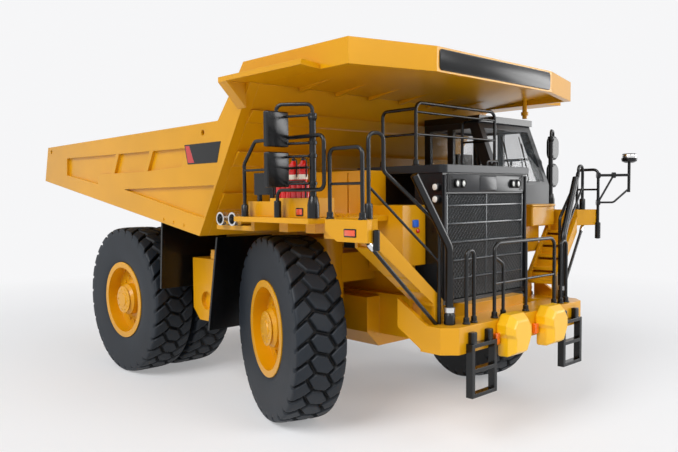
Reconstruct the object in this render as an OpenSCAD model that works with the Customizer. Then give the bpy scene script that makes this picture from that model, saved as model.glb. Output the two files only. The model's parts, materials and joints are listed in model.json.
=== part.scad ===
// Mining dump truck, a 1:50 die-cast collector's model standing on its wheels.
// +X forward, +Y to the left, +Z up. The ground is at zero and the box is centred on the origin.
// Sizes named "rise" are heights above the axles, sizes named "ahead" are measured from an axle.

/* [Overall] */
// Between the front and the rear axle
wheelbase = 93.4; // [92.6:0.1:94.6]
// From the rear axle back to the tail of the dump body
tail_reach = 64.1; // [63:0.1:66]
// From the front axle forward to the front of the lamp pods
nose_reach = 58.9; // [58.6:0.1:60.6]
// Width over the mirrors
overall_w = 133.6; // [132:0.2:137]

/* [Wheels] */
// Radius of the tyres over the lugs
tyre_r = 28; // [27:0.1:28.3]
// Width of one tyre
tyre_w = 15; // [14.5:0.1:15.2]
// Radius of the rims at their lips
rim_r = 14.6; // [14.2:0.1:15.5]
// Between the centre planes of the front tyres
front_track = 82.8; // [82.4:0.1:84.4]
// Between the centre planes of the outer rear tyres
rear_track = 87.6; // [87:0.1:90]
// Gap between the twin tyres
twin_gap = 2.2; // [1.8:0.1:2.4]
// Between the two steering axes
kingpin_track = 56; // [55:0.1:56.4]
// Turn of the front wheels to the right, in degrees
steer_angle = 18.6; // [-25:0.2:25]
// Radius of the wheel spindles and of the rear axle's ends
spindle_r = 3.6; // [3:0.1:4]

/* [Frame] */
// Gap between the two main rails
rail_gap = 14; // [13:0.1:14.4]
// Width of a main rail
rail_w = 4.5; // [4:0.1:4.6]
// Depth of a main rail
rail_h = 13; // [11:0.1:13.2]
// Top of the rails above the axles
rail_rise = 22; // [21.5:0.1:22.2]
// Diameter of the two base screws
screw_d = 3; // [2:0.1:4]
// Depth of the screw holes
screw_depth = 9; // [6:0.5:11]

/* [Dump body] */
// Width over the side walls
body_w = 110.6; // [109:0.2:112]
// Thickness of the side walls
side_t = 3.3; // [2.6:0.1:4]
// Thickness of the floor
floor_t = 3.4; // [2.6:0.1:4]
// Thickness of the front wall
wall_t = 3.6; // [3:0.1:5]
// Forward lean of the front wall in degrees
wall_lean = 32.5; // [31:0.5:33]
// Foot of the front wall ahead of the rear axle
body_ahead = 63.6; // [62:0.1:64.5]
// Floor's front edge above the axles
body_rise = 27.4; // [27.2:0.1:29]
// Floor's tail edge above the axles
tail_rise = 47.2; // [45:0.2:49]
// Top of the side rails above the axles
side_rise = 62.6; // [60:0.2:65]
// Foot of the canopy's lip above the axles
canopy_rise = 72; // [71.6:0.2:75]
// Height of the canopy's lip
canopy_h = 6.6; // [5.4:0.1:8]
// Canopy's front edge ahead of the front axle
canopy_ahead = 44.3; // [42:0.1:47]
// Width of the canopy over its lips
canopy_w = 108; // [106:0.2:110]
// Width over the canopy's wings
wing_w = 124; // [120:0.2:128]

/* [Front end] */
// Top of the decks above the axles
deck_rise = 34.2; // [33.8:0.1:35]
// Width over the decks
deck_w = 120; // [118:0.2:122]
// Radiator's front ahead of the front axle
radiator_ahead = 40; // [39.4:0.1:40.6]
// Width of the radiator's surround
radiator_w = 42; // [40:0.2:42]
// Underside of the hood above the axles
hood_rise = 46; // [44:0.1:47]
// Width of the cab
cab_w = 32; // [30:0.2:33]
// Height of the cab over its roof
cab_h = 32.4; // [30:0.2:33]
// Front face of the bumper ahead of the front axle
bumper_ahead = 53.6; // [53.2:0.1:54.2]
// Width of the bumper
bumper_w = 69.6; // [66:0.2:72]
// Width of a stair
stair_w = 10; // [9:0.1:10.6]
// Turn of the stairs, from straight back towards the side, in degrees
stair_turn = 80; // [76:1:84]

/* [Hidden] */
$fn = 48;
tube_fn = 20;

paint = [0.86, 0.60, 0.11];
pod_paint = [0.98, 0.78, 0.08];
rubber = [0.16, 0.18, 0.21];
black = [0.10, 0.10, 0.11];
charcoal = [0.22, 0.23, 0.25];
steel = [0.75, 0.76, 0.78];
signal_red = [0.80, 0.06, 0.06];
pane = [0.80, 0.86, 0.88, 0.35];

// How far a cut runs past the faces it opens
over = 1;
// Radial clearance of the turning and sliding fits
fit = 0.05;
// Clearance between pieces that sit beside or inside each other
seat = 0.1;
// Clearance between pieces that pass each other
pass = 0.4;

// Ends of the truck and places of its axles
overall_l = tail_reach + wheelbase + nose_reach;
tail_x = -overall_l / 2;
rear_x = tail_x + tail_reach;
front_x = rear_x + wheelbase;
nose_x = overall_l / 2;
side_y = overall_w / 2;
axle_z = tyre_r;

// Front bumper
bumper_front = front_x + bumper_ahead;
bumper_l = 10;
bumper_rear = bumper_front - bumper_l;
bumper_h = 7;
bumper_rise = 6;
bumper_top = axle_z + bumper_rise;
bumper_corner = 3.4;
bumper_y = bumper_w / 2;
step_plate_l = 8;
step_plate_t = 1.6;
step_plate_w = 10;
panel_t = 1.2;
panel_h = 6.2;
panel_lap = 2;

// Frame
rail_in = rail_gap / 2;
rail_out = rail_in + rail_w;
rail_top = axle_z + rail_rise;
rail_low = rail_top - rail_h;
rail_ahead = 29.2;
rail_front = front_x + rail_ahead;
brace_l = 5;
brace_h = 8;
brace_aheads = [14, 44, 68];
hinge_back = 19.9;
hinge_rise = 28;
hinge_x = rear_x - hinge_back;
hinge_z = axle_z + hinge_rise;
hinge_boss_r = 4;
hinge_foot = 6;
hinge_pin_r = 2.2;
lug_w = 4;
lug_r = 4.2;
lug_flare = 3;
lug_in = rail_out + pass;
lug_out = lug_in + lug_w;
hinge_pin_y = lug_out + pass;
nose_box_back = 11.4;
nose_box_w = 28;
nose_box_h = 13;
beam_l = 18;
beam_w = 39;
beam_top_drop = 1;
beam_drop = 8;
beam_bevel = 5;
post_l = 3.8;
post_w = 4;
post_aheads = [6, 17.5];
post_foot = 6;
deck_beam_y = 51.4;
deck_beam_h = 3;
boss_r = 3.6;
boss_ahead = 44;
boss_x = rear_x + boss_ahead;

// Hoist cylinders, from their pins on the frame to the eyes under the floor
hoist_ahead = 22.1;
hoist_drop = 6;
hoist_x = rear_x + hoist_ahead;
hoist_z = axle_z - hoist_drop;
hoist_pin_r = 1.8;
hoist_eye_r = 3.2;
hoist_r = 2.2;
hoist_w = 5;
hoist_y = rail_out + pass + hoist_w / 2;
hoist_pin_y = hoist_y + hoist_w / 2 + pass / 2;
hanger_l = 12;
hanger_taper = 3;
rod_r = 1.4;
rod_eye_r = 2.4;
rod_eye_w = 4;
rod_eye_bore_r = 1.2;
rod_foot = 7;
eye_ahead = 8.1;
eye_rise = 32;
eye_x = rear_x + eye_ahead;
eye_z = axle_z + eye_rise;
hoist_l = norm([eye_x - hoist_x, eye_z - hoist_z]);
hoist_lean = atan2(eye_x - hoist_x, eye_z - hoist_z);
barrel_l = hoist_l - 2 * hoist_eye_r;
gland_l = 2;
gland_r = 2.6;
clevis_t = 0.9;
clevis_r = 3;

// Wheels: radii, and places across the wheel from its centre plane
front_y = front_track / 2;
rear_y = rear_track / 2;
twin_y = rear_y - tyre_w - twin_gap;
kingpin_y = kingpin_track / 2;
lip_h = 0.9;
bead_r = rim_r - lip_h;
barrel_t = 1.2;
lip_t = 0.8;
lip_inset = 0.3;
rim_half = tyre_w / 2 - lip_inset;
disc_t = 2;
disc_y = 0.4;
hub_r = 6;
hub_l = 4.4;
hub_cap_t = 1.4;
drum_r = 9;
lug_count = 24;
lug_h = 1.6;
lug_rib = 1.2;
groove_w = 2;
// Tyre section as shares of the tread's height over the bead and of half the width
tyre_section_shares = [[0, 0.82], [0.2, 0.93], [0.46, 1], [0.72, 0.99], [0.9, 0.93], [1, 0.78]];

// Steering knuckles and struts
kingpin_r = 2.4;
kingpin_l = 13;
knuckle_r = 4.6;
knuckle_drop = 7;
knuckle_h = 13;
knuckle_top = axle_z - knuckle_drop + knuckle_h;
strut_r = 5;
strut_h = 20.6;
strut_low = knuckle_top + seat;
strut_arm_l = 9;
strut_arm_h = 9;
spindle_end = front_y + disc_y + disc_t + hub_l - hub_cap_t - seat;

// Rear axle
axle_bulge_r = 8.4;
axle_tube_r = 5.6;
axle_bulge_w = 9;
axle_cone_w = 5;
axle_tube_y = twin_y - tyre_w / 2 + lip_inset - pass;
axle_pad_l = 8;
axle_end_y = rear_y + disc_y + disc_t + hub_l - hub_cap_t - seat;

// Decks
deck_z = axle_z + deck_rise;
deck_t = 1.4;
deck_y = deck_w / 2;
deck_gap = 1;
deck_in = radiator_w / 2 + deck_gap;
deck_back = 3.8;
deck_rear = front_x - deck_back;
deck_ahead = 28.6;
deck_front = front_x + deck_ahead;
landing_ahead = 47.8;
landing_front = front_x + landing_ahead;
landing_h = 5.4;
landing_inset = 1.4;
landing_y = deck_y - landing_inset;
landing_lap = 2;
landing_back = 4.7;
landing_neck_y = 53;
landing_nose = 1.6;
landing_cut = 6;
landing_short = 2.4;
shelf_l = 18;
shelf_drop = 3;
shelf_y = 54;
riser_t = 1.5;

// Stairs between the bumper and the decks
stair_ahead = 46.2;
stair_y = 28.6;
stair_run = 21.2;
stair_treads = 5;
stair_rise = deck_z - bumper_top;
stair_head_drop = 2.5;
stringer_t = 1.1;
stringer_h = 5.2;
stringer_foot = 3;
stringer_foot_h = 6.2;
stringer_knee = 5.1;
tread_t = 0.9;
tread_l = 3.4;
tread_drop = 1.5;
stair_foot = [front_x + stair_ahead, stair_y];
stair_dir = [-cos(stair_turn), sin(stair_turn)];
stair_side = [-sin(stair_turn), -cos(stair_turn)];
stair_head = stair_foot + stair_run * stair_dir;
stair_head_in = stair_head + stair_w * stair_side;

// Ladders hung on the bumper's front face
ladder_y = 23;
ladder_w = 11;
ladder_l = 2;
ladder_rise = 1.5;
ladder_h = 14;
ladder_side_t = 1.2;
ladder_rung_t = 1;
ladder_rungs = 3;

// Headlamp pods
pod_y = 9.8;
pod_w = 11;
pod_h = 11.4;
pod_drop = 4.2;
pod_bevel = 2.6;
pod_inset = 1.6;
pod_l = nose_x - bumper_front;

// Radiator, grille, hood, engine and the boxes beside them
radiator_front = front_x + radiator_ahead;
radiator_l = 10;
hood_z = axle_z + hood_rise;
radiator_y = radiator_w / 2;
grille_margin = 1.6;
grille_y = radiator_y - grille_margin;
grille_low = 1.2;
grille_top_drop = 6;
grille_t = 1.2;
grille_z0 = rail_low + grille_low;
grille_z1 = hood_z - grille_top_drop;
mesh_pitch = 3.8;
mesh_bar = 0.7;
mesh_edge = 0.6;
mesh_depth = 0.6;
hood_t = 2.2;
hood_l = 34.6;
hood_lip = 1.2;
hood_overhang = 1.2;
hood_y = radiator_y + hood_overhang;
hood_corner_r = 2;
engine_back = 11.4;
engine_l = 40;
engine_w = 20;
engine_y = engine_w / 2;
box_w = 9.6;
box_drop = 14;
box_rise = 2.8;
box_setback = 6;
box_in = radiator_y + 2 * seat;
box_out = box_in + box_w;
right_box_l = 11.2;
left_box_l = 5;
box_front = radiator_front - box_setback;

// Lockers, bin, sign and extinguishers on the right deck
locker_in = hood_y + seat;
locker_l = 22;
locker_w = 8.4;
locker_h = 12.8;
locker_back = 1.6;
locker_seam = 0.5;
locker_doors = 3;
bin_l = 26.7;
bin_w = 8.6;
bin_h = 4.2;
bin_step_h = 0.9;
bin_step_back = 10.1;
bin_back = 2.4;
bin_inset = 3.4;
bin_x = deck_rear + bin_back;
bin_out = deck_y - bin_inset;
bin_top = deck_z + bin_h;
bin_step_top = bin_top + bin_step_h;
sign_l = 9.6;
sign_h = 6.2;
sign_t = 1;
sign_in = 2.1;
sign_leg_h = 1.8;
sign_leg_in = 1.4;
bottle_r = 1.25;
bottle_h = 10.2;
bottle_step = 4.1;
bottle_back = 4;
bottle_in = 5.1;
flask_r = 1;
flask_h = 3.8;
flask_step = 2.2;
flask_back = 1.7;
flask_in = 2;
flask_count = 6;

// Cab
cab_in = hood_y + seat + pass;
cab_out = cab_in + cab_w;
cab_back = 2.9;
cab_rear = front_x - cab_back;
cab_ahead = 28.7;
cab_front = front_x + cab_ahead;
cab_t = 1.4;
cab_sill = 8.8;
cab_rake = 8.4;
roof_t = 2.2;
roof_lip = 0.7;
pillar = 2.6;
cab_top = deck_z + cab_h - roof_t;
glass_t = 0.6;
window_sill = 10;
window_drop = 2.2;
mid_pillar = 2.4;
seat_l = 9;
seat_w = 9;
seat_h = 8;
seat_back_h = 11;
seat_back_t = 2.4;
dash_l = 5;
dash_h = 7;
wheel_r = 3.2;
wheel_t = 0.8;
column_r = 0.7;
column_l = 3;
wheel_tilt = 45;

// Exhaust pipes on the rear shelf
pipe_r = 2;
pipe_wall = 0.5;
pipe_l = 24;
pipe_out = 2.6;
pipe_step = 6.2;
pipe_back = 6;

// Lamps on the radiator
lamp_r = 0.9;
lamp_t = 0.8;
lamp_ys = [12.6, 15.4];
lamp_drop = 3;
side_lamp_drops = [4, 7.4];
side_lamp_setback = 2;

// Handrails
rail_d = 1.2;
post_d = 1.05;
mid_d = 0.85;
bend_r = 1.5;
ball_share = 1.06;
edge = 0.9;
deck_rail_h = 20.6;
mid_rail_h = 12.8;
low_rail_h = 7.2;
low_rail_back = 18.9;
hoop_inset = 1;
hoop_back = 4.1;
hoop_knee = 14.6;
hoop_lean = 5.2;
hoop_ahead = 5;
left_deck_rail_h = 18.5;
landing_rail_h = 17.1;
landing_rail_setback = 2.3;
left_rail_h = 13.8;
left_rail_l = 6.4;
left_rail_setback = 3.4;
hood_rail_h = 18.2;
hood_rail_l = 13;
hood_rail_y = 19.6;
hood_rail_back = 12;
bumper_rail_h = 20.5;
bumper_rail_right = -13;
bumper_rail_left = 18.5;
bumper_rail_setback = 2;
bumper_mid_share = 0.46;
side_hoop_y = 22.4;
side_hoop_w = 3.3;
side_hoop_h = 19.2;

// Rails of a stair: heights over the deck at its head and over the bumper at its foot
loop_reach = 3.2;
loop_back = 1.3;
right_loop_h = 20.8;
left_loop_h = 15;
upper_bar_h = 11.6;
upper_bar_foot_h = 26;
lower_bar_h = 7.9;
lower_bar_foot_h = 16.4;
bar_foot = 2;
arm_d = 2.2;
arm_run = 11.7;
arm_top = 38.9;
arm_knee = 20.2;
brace_foot = 4;

// Mirrors and the beacon's arm
mirror_post_d = 1.7;
mirror_inset = hoop_inset + (rail_d + mirror_post_d) / 2 + seat;
// The left deck's edge, with room for a post beside the cab's roof
deck_out = max(deck_y, cab_out + roof_lip + pass + mirror_post_d / 2 + mirror_inset);
mirror_x = deck_front - edge;
mirror_t = 1.4;
mirror_h = 8.9;
mirror_gap = 1.3;
mirror_top = 27;
mirror_hoop_h = 1.7;
mirror_back_right = 7.2;
mirror_back_left = 2.4;
beacon_reach = 6;
beacon_r = 2.6;
beacon_h = 3.2;
beacon_rise = 16;
beacon_arm_h = 11.8;
beacon_foot_h = 2.4;

// Tanks behind the front wheels and the mud flaps
tank_ahead = 35.6;
tank_l = 17;
tank_out = 41;
tank_low = 4;
tank_high = 18;
tank_bevel = 4;
tank_recess_r = 3.2;
tank_recess_t = 1.6;
tank_cap_r = 1.8;
tank_cap_h = 1.6;
flap_t = 0.9;
flap_in = 24;
flap_out = 46.5;
front_flap_ahead = 59.8;
front_flap_rake = 6;
front_flap_low = 5.3;
front_flap_top_rise = 26.4;
flap_bar_h = 3;
flap_bar_l = 3;
rear_flap_ahead = 30.1;
rear_flap_rake = 2;
rear_flap_rise = 7;
rear_flap_out = 51;

// Dump body
body_y = body_w / 2;
body_in = body_y - side_t;
body_z = axle_z + body_rise;
tail_z = axle_z + tail_rise;
side_z = axle_z + side_rise;
canopy_z = axle_z + canopy_rise;
foot_x = rear_x + body_ahead;
floor_slope = (tail_z - body_z) / (foot_x - tail_x);
wall_slope = tan(wall_lean);
wall_run = wall_t / cos(wall_lean);
tail_slant = 4.4;
rail_fall = 0.9;
ear_l = 10.9;
ear_top_l = 8.3;
rail_band_h = 5.8;
recess_t = 1.1;
eyelet_r = 0.9;
eyelet_front = 8.4;
eyelet_tail = 3.6;
eyelet_drop = 2.1;
bolster_gap = 0.3;
bolster_back = 12;
bolster_front = 5;
bolster_inset = 0.3;
// Recesses of the side panel, as shares of the length from the tail to the wall's foot
// and of the height from the floor's underside to the rail band
upper_recess_shares = [
    [[0.195, 0.95], [0.190, 0.42], [0.425, 0.34], [0.435, 0.56], [0.520, 0.59], [0.552, 0.95]],
    [[0.572, 0.95], [0.540, 0.60], [0.722, 0.66], [0.755, 0.95]],
    [[0.775, 0.95], [0.742, 0.67], [0.922, 0.74], [0.950, 0.95]]
];
lower_recess_shares = [[0.600, 0.34], [1.070, 0.56], [1.022, 0.21], [0.985, 0.21]];
// Bands across the front wall, as shares of its height: from, to
wall_band_shares = [[0.16, 0.3], [0.46, 0.58], [0.74, 0.84]];
wall_band_t = 1.3;

// Canopy
canopy_t = 1.4;
canopy_climb = 3.4;
canopy_y = canopy_w / 2;
wing_y = wing_w / 2;
canopy_front = front_x + canopy_ahead;
canopy_nose_y = 28.7;
canopy_nose_back = 7.1;
wing_front_ahead = 28.9;
wing_front_slant = 2.2;
wing_rear_slant = 2.2;
lip_wall_t = 1.6;
lip_slant = 4;
canopy_rib_w = 1.4;
canopy_rib_h = 1.2;
canopy_rib_l = 14;
canopy_rib_ys = [7.5, 22.3, 37];
hanging_post_d = 1.7;
hanging_post_ahead = 21.3;
hanging_post_y = 50.1;
hanging_collar_d = 2.6;
hanging_collar_h = 1.2;
wing_gusset_l = 4;
wing_gusset_h = 7;

// Floor's underside and the front wall's front face, as heights and places along the truck
function floor_z(x) = body_z + floor_slope * (foot_x - x);
function wall_x(z) = foot_x + wall_slope * (z - body_z);
// Where the floor's surface, lifted by h, meets a line parallel to the wall and back by run
function floor_end(h, run) =
    (floor_slope * foot_x + h + (foot_x - run) / wall_slope) / (1 / wall_slope + floor_slope);
// Underside of the canopy's plate, which climbs from the front wall to the canopy's front
function canopy_under(x) =
    canopy_z + canopy_climb * (x - wall_x(canopy_z)) / (canopy_front - wall_x(canopy_z));
function side_point(share) =
    let (x = tail_x + share.x * (foot_x - tail_x), low = floor_z(x))
    [x, low + share.y * (side_z - rail_band_h - low)];
function flap_x(z) = rear_x + front_flap_ahead
    - front_flap_rake * (axle_z + front_flap_top_rise - z) / (front_flap_top_rise + front_flap_low);

// Shapes that repeat

module both_sides() {
    children();
    mirror([0, 1, 0]) children();
}

module right_side() {
    mirror([0, 1, 0]) children();
}

// An outline drawn along the truck and upwards, carried across it from y0 to y1
module across(points, y0, y1) {
    translate([0, y1, 0]) rotate([90, 0, 0]) linear_extrude(y1 - y0) polygon(points);
}

// A box from one corner to the opposite one
module block(low, high) {
    translate(low) cube(high - low);
}

// A round bar between two points
module bar(from, to, d) {
    along = to - from;
    translate(from) rotate([0, acos(along.z / norm(along)), atan2(along.y, along.x)])
        cylinder(h = norm(along), d = d, $fn = tube_fn);
}

// A cylinder across the truck, from y0 to y1
module shaft(x, z, r, y0, y1) {
    translate([x, y1, z]) rotate([90, 0, 0]) cylinder(h = y1 - y0, r = r);
}

// A profile of radius and place across the truck, turned about an axle
module turned(x, z, y) {
    translate([x, y, z]) rotate([-90, 0, 0]) rotate_extrude($fn = 96) children();
}

function unit(v) = v / norm(v);
// Angle between the two legs that meet at an inner point of a route
function turn_at(route, i) = acos(unit(route[i] - route[i - 1]) * unit(route[i + 1] - route[i]));
// Length that the bend there takes from each leg
function bend_trim(route, i) = bend_r * tan(turn_at(route, i) / 2);

// A route with each inner point replaced by the two where its bend begins and ends
function bent(route) = [
    for (i = [0:len(route) - 1]) each i == 0 || i == len(route) - 1 ? [route[i]] : [
        route[i] - bend_trim(route, i) * unit(route[i] - route[i - 1]),
        route[i] + bend_trim(route, i) * unit(route[i + 1] - route[i])
    ]
];

// A tube along a route of three points or more, with a ball at the ends of each bend
module tube(route, d) {
    points = bent(route);
    for (i = [0:len(points) - 2]) bar(points[i], points[i + 1], d);
    for (i = [1:len(points) - 2]) translate(points[i]) sphere(d = ball_share * d, $fn = tube_fn);
}

// A handrail between two feet: a hoop with round corners, inner posts and a mid bar
module handrail(from, to, h, posts = 2, mid_share = 0.5) {
    step = (to - from) / (posts - 1);
    lift = [0, 0, h];
    tube([from, from + lift, to + lift, to], rail_d);
    if (posts > 2) for (i = [1:posts - 2]) bar(from + i * step, from + i * step + lift, post_d);
    if (mid_share > 0) bar(from + mid_share * lift, to + mid_share * lift, mid_d);
}

// Frame, axles and steering

module frame() {
    color(paint) difference() {
        union() {
            both_sides() main_rail();
            for (ahead = brace_aheads)
                block([rear_x + ahead, -rail_in - over, rail_top - brace_h],
                      [rear_x + ahead + brace_l, rail_in + over, rail_top - over]);
            shaft(hinge_x, hinge_z, hinge_pin_r, -hinge_pin_y, hinge_pin_y);
            shaft(hoist_x, hoist_z, hoist_pin_r, -hoist_pin_y, hoist_pin_y);
            block([front_x - nose_box_back, -nose_box_w / 2, rail_low - nose_box_h],
                  [bumper_rear, nose_box_w / 2, rail_low]);
            front_beam();
            both_sides() deck_posts();
            both_sides() flap_bar();
            translate([boss_x, 0, axle_z - beam_drop])
                cylinder(h = rail_top - brace_h + beam_drop - axle_z + over, r = boss_r);
        }
        for (x = [boss_x, front_x]) translate([x, 0, axle_z - beam_drop - over])
            cylinder(h = screw_depth + over, d = screw_d);
    }
}

// One rail, with its hinge boss at the tail and the hanger of the hoist pin
module main_rail() {
    across([
        [hinge_x - hinge_boss_r, hinge_z], [hinge_x - hinge_boss_r, rail_low + hinge_foot / 2],
        [hinge_x, rail_low], [rail_front, rail_low], [rail_front, rail_top],
        [hinge_x + hinge_boss_r + hinge_foot, rail_top], [hinge_x + hinge_boss_r, hinge_z]
    ], rail_in, rail_out);
    shaft(hinge_x, hinge_z, hinge_boss_r, rail_in, rail_out);
    across([
        [hoist_x - hanger_l / 2, rail_low + over], [hoist_x - hanger_l / 2 + hanger_taper, hoist_z],
        [hoist_x + hanger_l / 2 - hanger_taper, hoist_z], [hoist_x + hanger_l / 2, rail_low + over]
    ], rail_in, rail_out);
    shaft(hoist_x, hoist_z, hanger_l / 2 - hanger_taper, rail_in, rail_out);
}

// The low beam between the front wheels, with its lower corners bevelled
module front_beam() {
    low = axle_z - beam_drop;
    half = beam_w / 2;
    translate([front_x - beam_l / 2, 0, 0]) rotate([90, 0, 90]) linear_extrude(beam_l) polygon([
        [-half, rail_low - beam_top_drop], [half, rail_low - beam_top_drop], [half, low + beam_bevel],
        [half - beam_bevel, low], [beam_bevel - half, low], [-half, low + beam_bevel]
    ]);
}

// Posts on the rails and the beams that carry the decks
module deck_posts() {
    low = deck_z - deck_t;
    for (ahead = post_aheads) {
        block([front_x + ahead, rail_out - over, rail_top - post_foot],
              [front_x + ahead + post_l, rail_out + post_w, low]);
        block([front_x + ahead, rail_out, low - deck_beam_h],
              [front_x + ahead + post_l, deck_beam_y, low]);
    }
}

// The bar behind the front mud flap
module flap_bar() {
    x = flap_x(rail_top - flap_bar_h) - flap_t / 2 - seat;
    block([x - flap_bar_l, rail_out - over, rail_top - flap_bar_h], [x, flap_out - edge, rail_top]);
}

module front_struts() {
    color(paint) both_sides() difference() {
        union() {
            translate([front_x, kingpin_y, strut_low]) cylinder(h = strut_h, r = strut_r);
            block([front_x - strut_arm_l / 2, rail_out, rail_top - strut_arm_h],
                  [front_x + strut_arm_l / 2, kingpin_y, rail_top]);
        }
        translate([front_x, kingpin_y, strut_low - over])
            cylinder(h = kingpin_l + over + seat, r = kingpin_r + fit);
    }
}

// What turns with the left front wheel
module steered_left() {
    translate([front_x, kingpin_y, 0]) rotate([0, 0, -steer_angle]) translate([-front_x, -kingpin_y, 0])
        children();
}

// What turns with the right front wheel, drawn on the left
module steered_right() {
    translate([front_x, -kingpin_y, 0]) rotate([0, 0, -steer_angle]) translate([-front_x, kingpin_y, 0])
        right_side() children();
}

// Left knuckle, straight ahead: an upright with its kingpin, and the spindle of the wheel
module knuckle() {
    color(charcoal) {
        translate([front_x, kingpin_y, axle_z - knuckle_drop]) cylinder(h = knuckle_h, r = knuckle_r);
        translate([front_x, kingpin_y, knuckle_top - over]) cylinder(h = kingpin_l + over, r = kingpin_r);
        shaft(front_x, axle_z, spindle_r, kingpin_y, spindle_end);
    }
}

module rear_axle() {
    half = axle_bulge_w / 2;
    tube = half + axle_cone_w;
    color(charcoal) {
        turned(rear_x, axle_z, 0) polygon([
            [0, -axle_end_y], [spindle_r, -axle_end_y], [spindle_r, -axle_tube_y],
            [axle_tube_r, -axle_tube_y], [axle_tube_r, -tube], [axle_bulge_r, -half],
            [axle_bulge_r, half], [axle_tube_r, tube], [axle_tube_r, axle_tube_y],
            [spindle_r, axle_tube_y], [spindle_r, axle_end_y], [0, axle_end_y]
        ]);
        both_sides() block([rear_x - axle_pad_l / 2, rail_in, axle_z],
                           [rear_x + axle_pad_l / 2, rail_out, rail_low]);
    }
}

// Wheels

// A tyre on its centre plane, its tread cut into two rows of lugs by grooves that alternate
module tyre(x, y) {
    bead = bead_r + fit;
    half = [for (s = tyre_section_shares) [bead + s.x * (tyre_r - bead), s.y * tyre_w / 2]];
    color(rubber) difference() {
        turned(x, axle_z, y) polygon(concat(
            half, [for (i = [len(half) - 1:-1:0]) [half[i].x, -half[i].y]]
        ));
        for (i = [0:lug_count - 1], s = [0, 1])
            translate([x, y, axle_z]) rotate([0, (i + s / 2) * 360 / lug_count, 0]) mirror([0, s, 0])
                translate([-groove_w / 2, lug_rib, tyre_r - lug_h]) cube([groove_w, tyre_w, tyre_r]);
    }
}

// Section of a rim's barrel with a lip at each edge, open towards the inside
module rim_section() {
    flange = bead_r - barrel_t;
    bead_half = tyre_section_shares[0].y * tyre_w / 2 + seat;
    polygon([
        [flange, -rim_half], [rim_r, -rim_half], [rim_r, -rim_half + lip_t / 2], [bead_r, -bead_half],
        [bead_r, bead_half], [rim_r, rim_half - lip_t / 2], [rim_r, rim_half], [flange, rim_half]
    ]);
}

// Section of a wheel's disc and hub, bored for the spindle and closed by a cap
module disc_section() {
    bore = spindle_r + fit;
    polygon([
        [bore, disc_y], [bead_r - barrel_t / 2, disc_y], [bead_r - barrel_t / 2, disc_y + disc_t],
        [hub_r, disc_y + disc_t], [hub_r, disc_y + disc_t + hub_l - hub_cap_t],
        [hub_r - hub_cap_t, disc_y + disc_t + hub_l], [0, disc_y + disc_t + hub_l],
        [0, disc_y + disc_t + hub_l - hub_cap_t], [bore, disc_y + disc_t + hub_l - hub_cap_t]
    ]);
}

module front_rim() {
    color(paint) turned(front_x, axle_z, front_y) {
        rim_section();
        disc_section();
    }
}

// Two rims joined by a drum between their discs
module rear_rims() {
    bore = spindle_r + fit;
    inner = -tyre_w - twin_gap;
    color(paint) turned(rear_x, axle_z, rear_y) {
        rim_section();
        disc_section();
        translate([0, inner]) rim_section();
        polygon([
            [bore, inner - disc_y], [drum_r, inner - disc_y],
            [drum_r, disc_y + disc_t / 2], [bore, disc_y + disc_t / 2]
        ]);
        polygon([
            [bore, inner - disc_y], [bead_r - barrel_t / 2, inner - disc_y],
            [bead_r - barrel_t / 2, inner + disc_t], [bore, inner + disc_t]
        ]);
    }
}

// Front bumper, ladders and lamp pods

module front_bumper() {
    low = bumper_top - bumper_h;
    plate_rear = bumper_rear - step_plate_l;
    color(paint) {
        translate([0, 0, low]) linear_extrude(bumper_h) polygon([
            [bumper_rear, -bumper_y], [bumper_front - bumper_corner, -bumper_y],
            [bumper_front, bumper_corner - bumper_y], [bumper_front, bumper_y - bumper_corner],
            [bumper_front - bumper_corner, bumper_y], [bumper_rear, bumper_y]
        ]);
        both_sides() {
            block([plate_rear, bumper_y - step_plate_w, bumper_top - step_plate_t],
                  [bumper_rear + over, bumper_y, bumper_top]);
            across([
                [plate_rear, bumper_top + panel_h], [plate_rear, bumper_top - step_plate_t],
                [bumper_rear + over, low], [bumper_rear + panel_lap, bumper_top]
            ], bumper_y - panel_t, bumper_y);
        }
    }
}

module ladders() {
    top = axle_z + ladder_rise;
    step = (ladder_h - ladder_rung_t) / (ladder_rungs - 1);
    color(black) both_sides() {
        for (y = [ladder_y - ladder_w / 2, ladder_y + ladder_w / 2 - ladder_side_t])
            block([bumper_front, y, top - ladder_h], [bumper_front + ladder_l, y + ladder_side_t, top]);
        for (i = [0:ladder_rungs - 1])
            translate([bumper_front, ladder_y - ladder_w / 2, top - ladder_h + i * step])
                cube([ladder_l, ladder_w, ladder_rung_t]);
    }
}

// Outline of a pod's face, seen from ahead, drawn in by an inset
module pod_outline(inset) {
    w = pod_w / 2 - inset;
    h = pod_h / 2 - inset;
    polygon([
        [-w, -h + pod_bevel], [-w + pod_bevel, -h], [w - pod_bevel, -h], [w, -h + pod_bevel],
        [w, h - pod_bevel], [w - pod_bevel, h], [-w + pod_bevel, h], [-w, h - pod_bevel]
    ]);
}

module headlamp_pods() {
    color(pod_paint) both_sides()
        translate([bumper_front, pod_y, bumper_top - pod_drop]) rotate([90, 0, 90]) hull() {
            linear_extrude(pod_l - pod_inset) pod_outline(0);
            linear_extrude(pod_l) pod_outline(pod_inset);
        }
}

// Radiator, hood and engine

module engine_block() {
    color(charcoal) block([front_x - engine_back, -engine_y, rail_top],
                          [front_x - engine_back + engine_l, engine_y, hood_z]);
}

module radiator() {
    color(black) difference() {
        block([radiator_front - radiator_l, -radiator_y, rail_low], [radiator_front, radiator_y, hood_z]);
        block([radiator_front - grille_t - seat, -grille_y - seat, grille_z0 - seat],
              [radiator_front + over, grille_y + seat, grille_z1 + seat]);
    }
}

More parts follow.
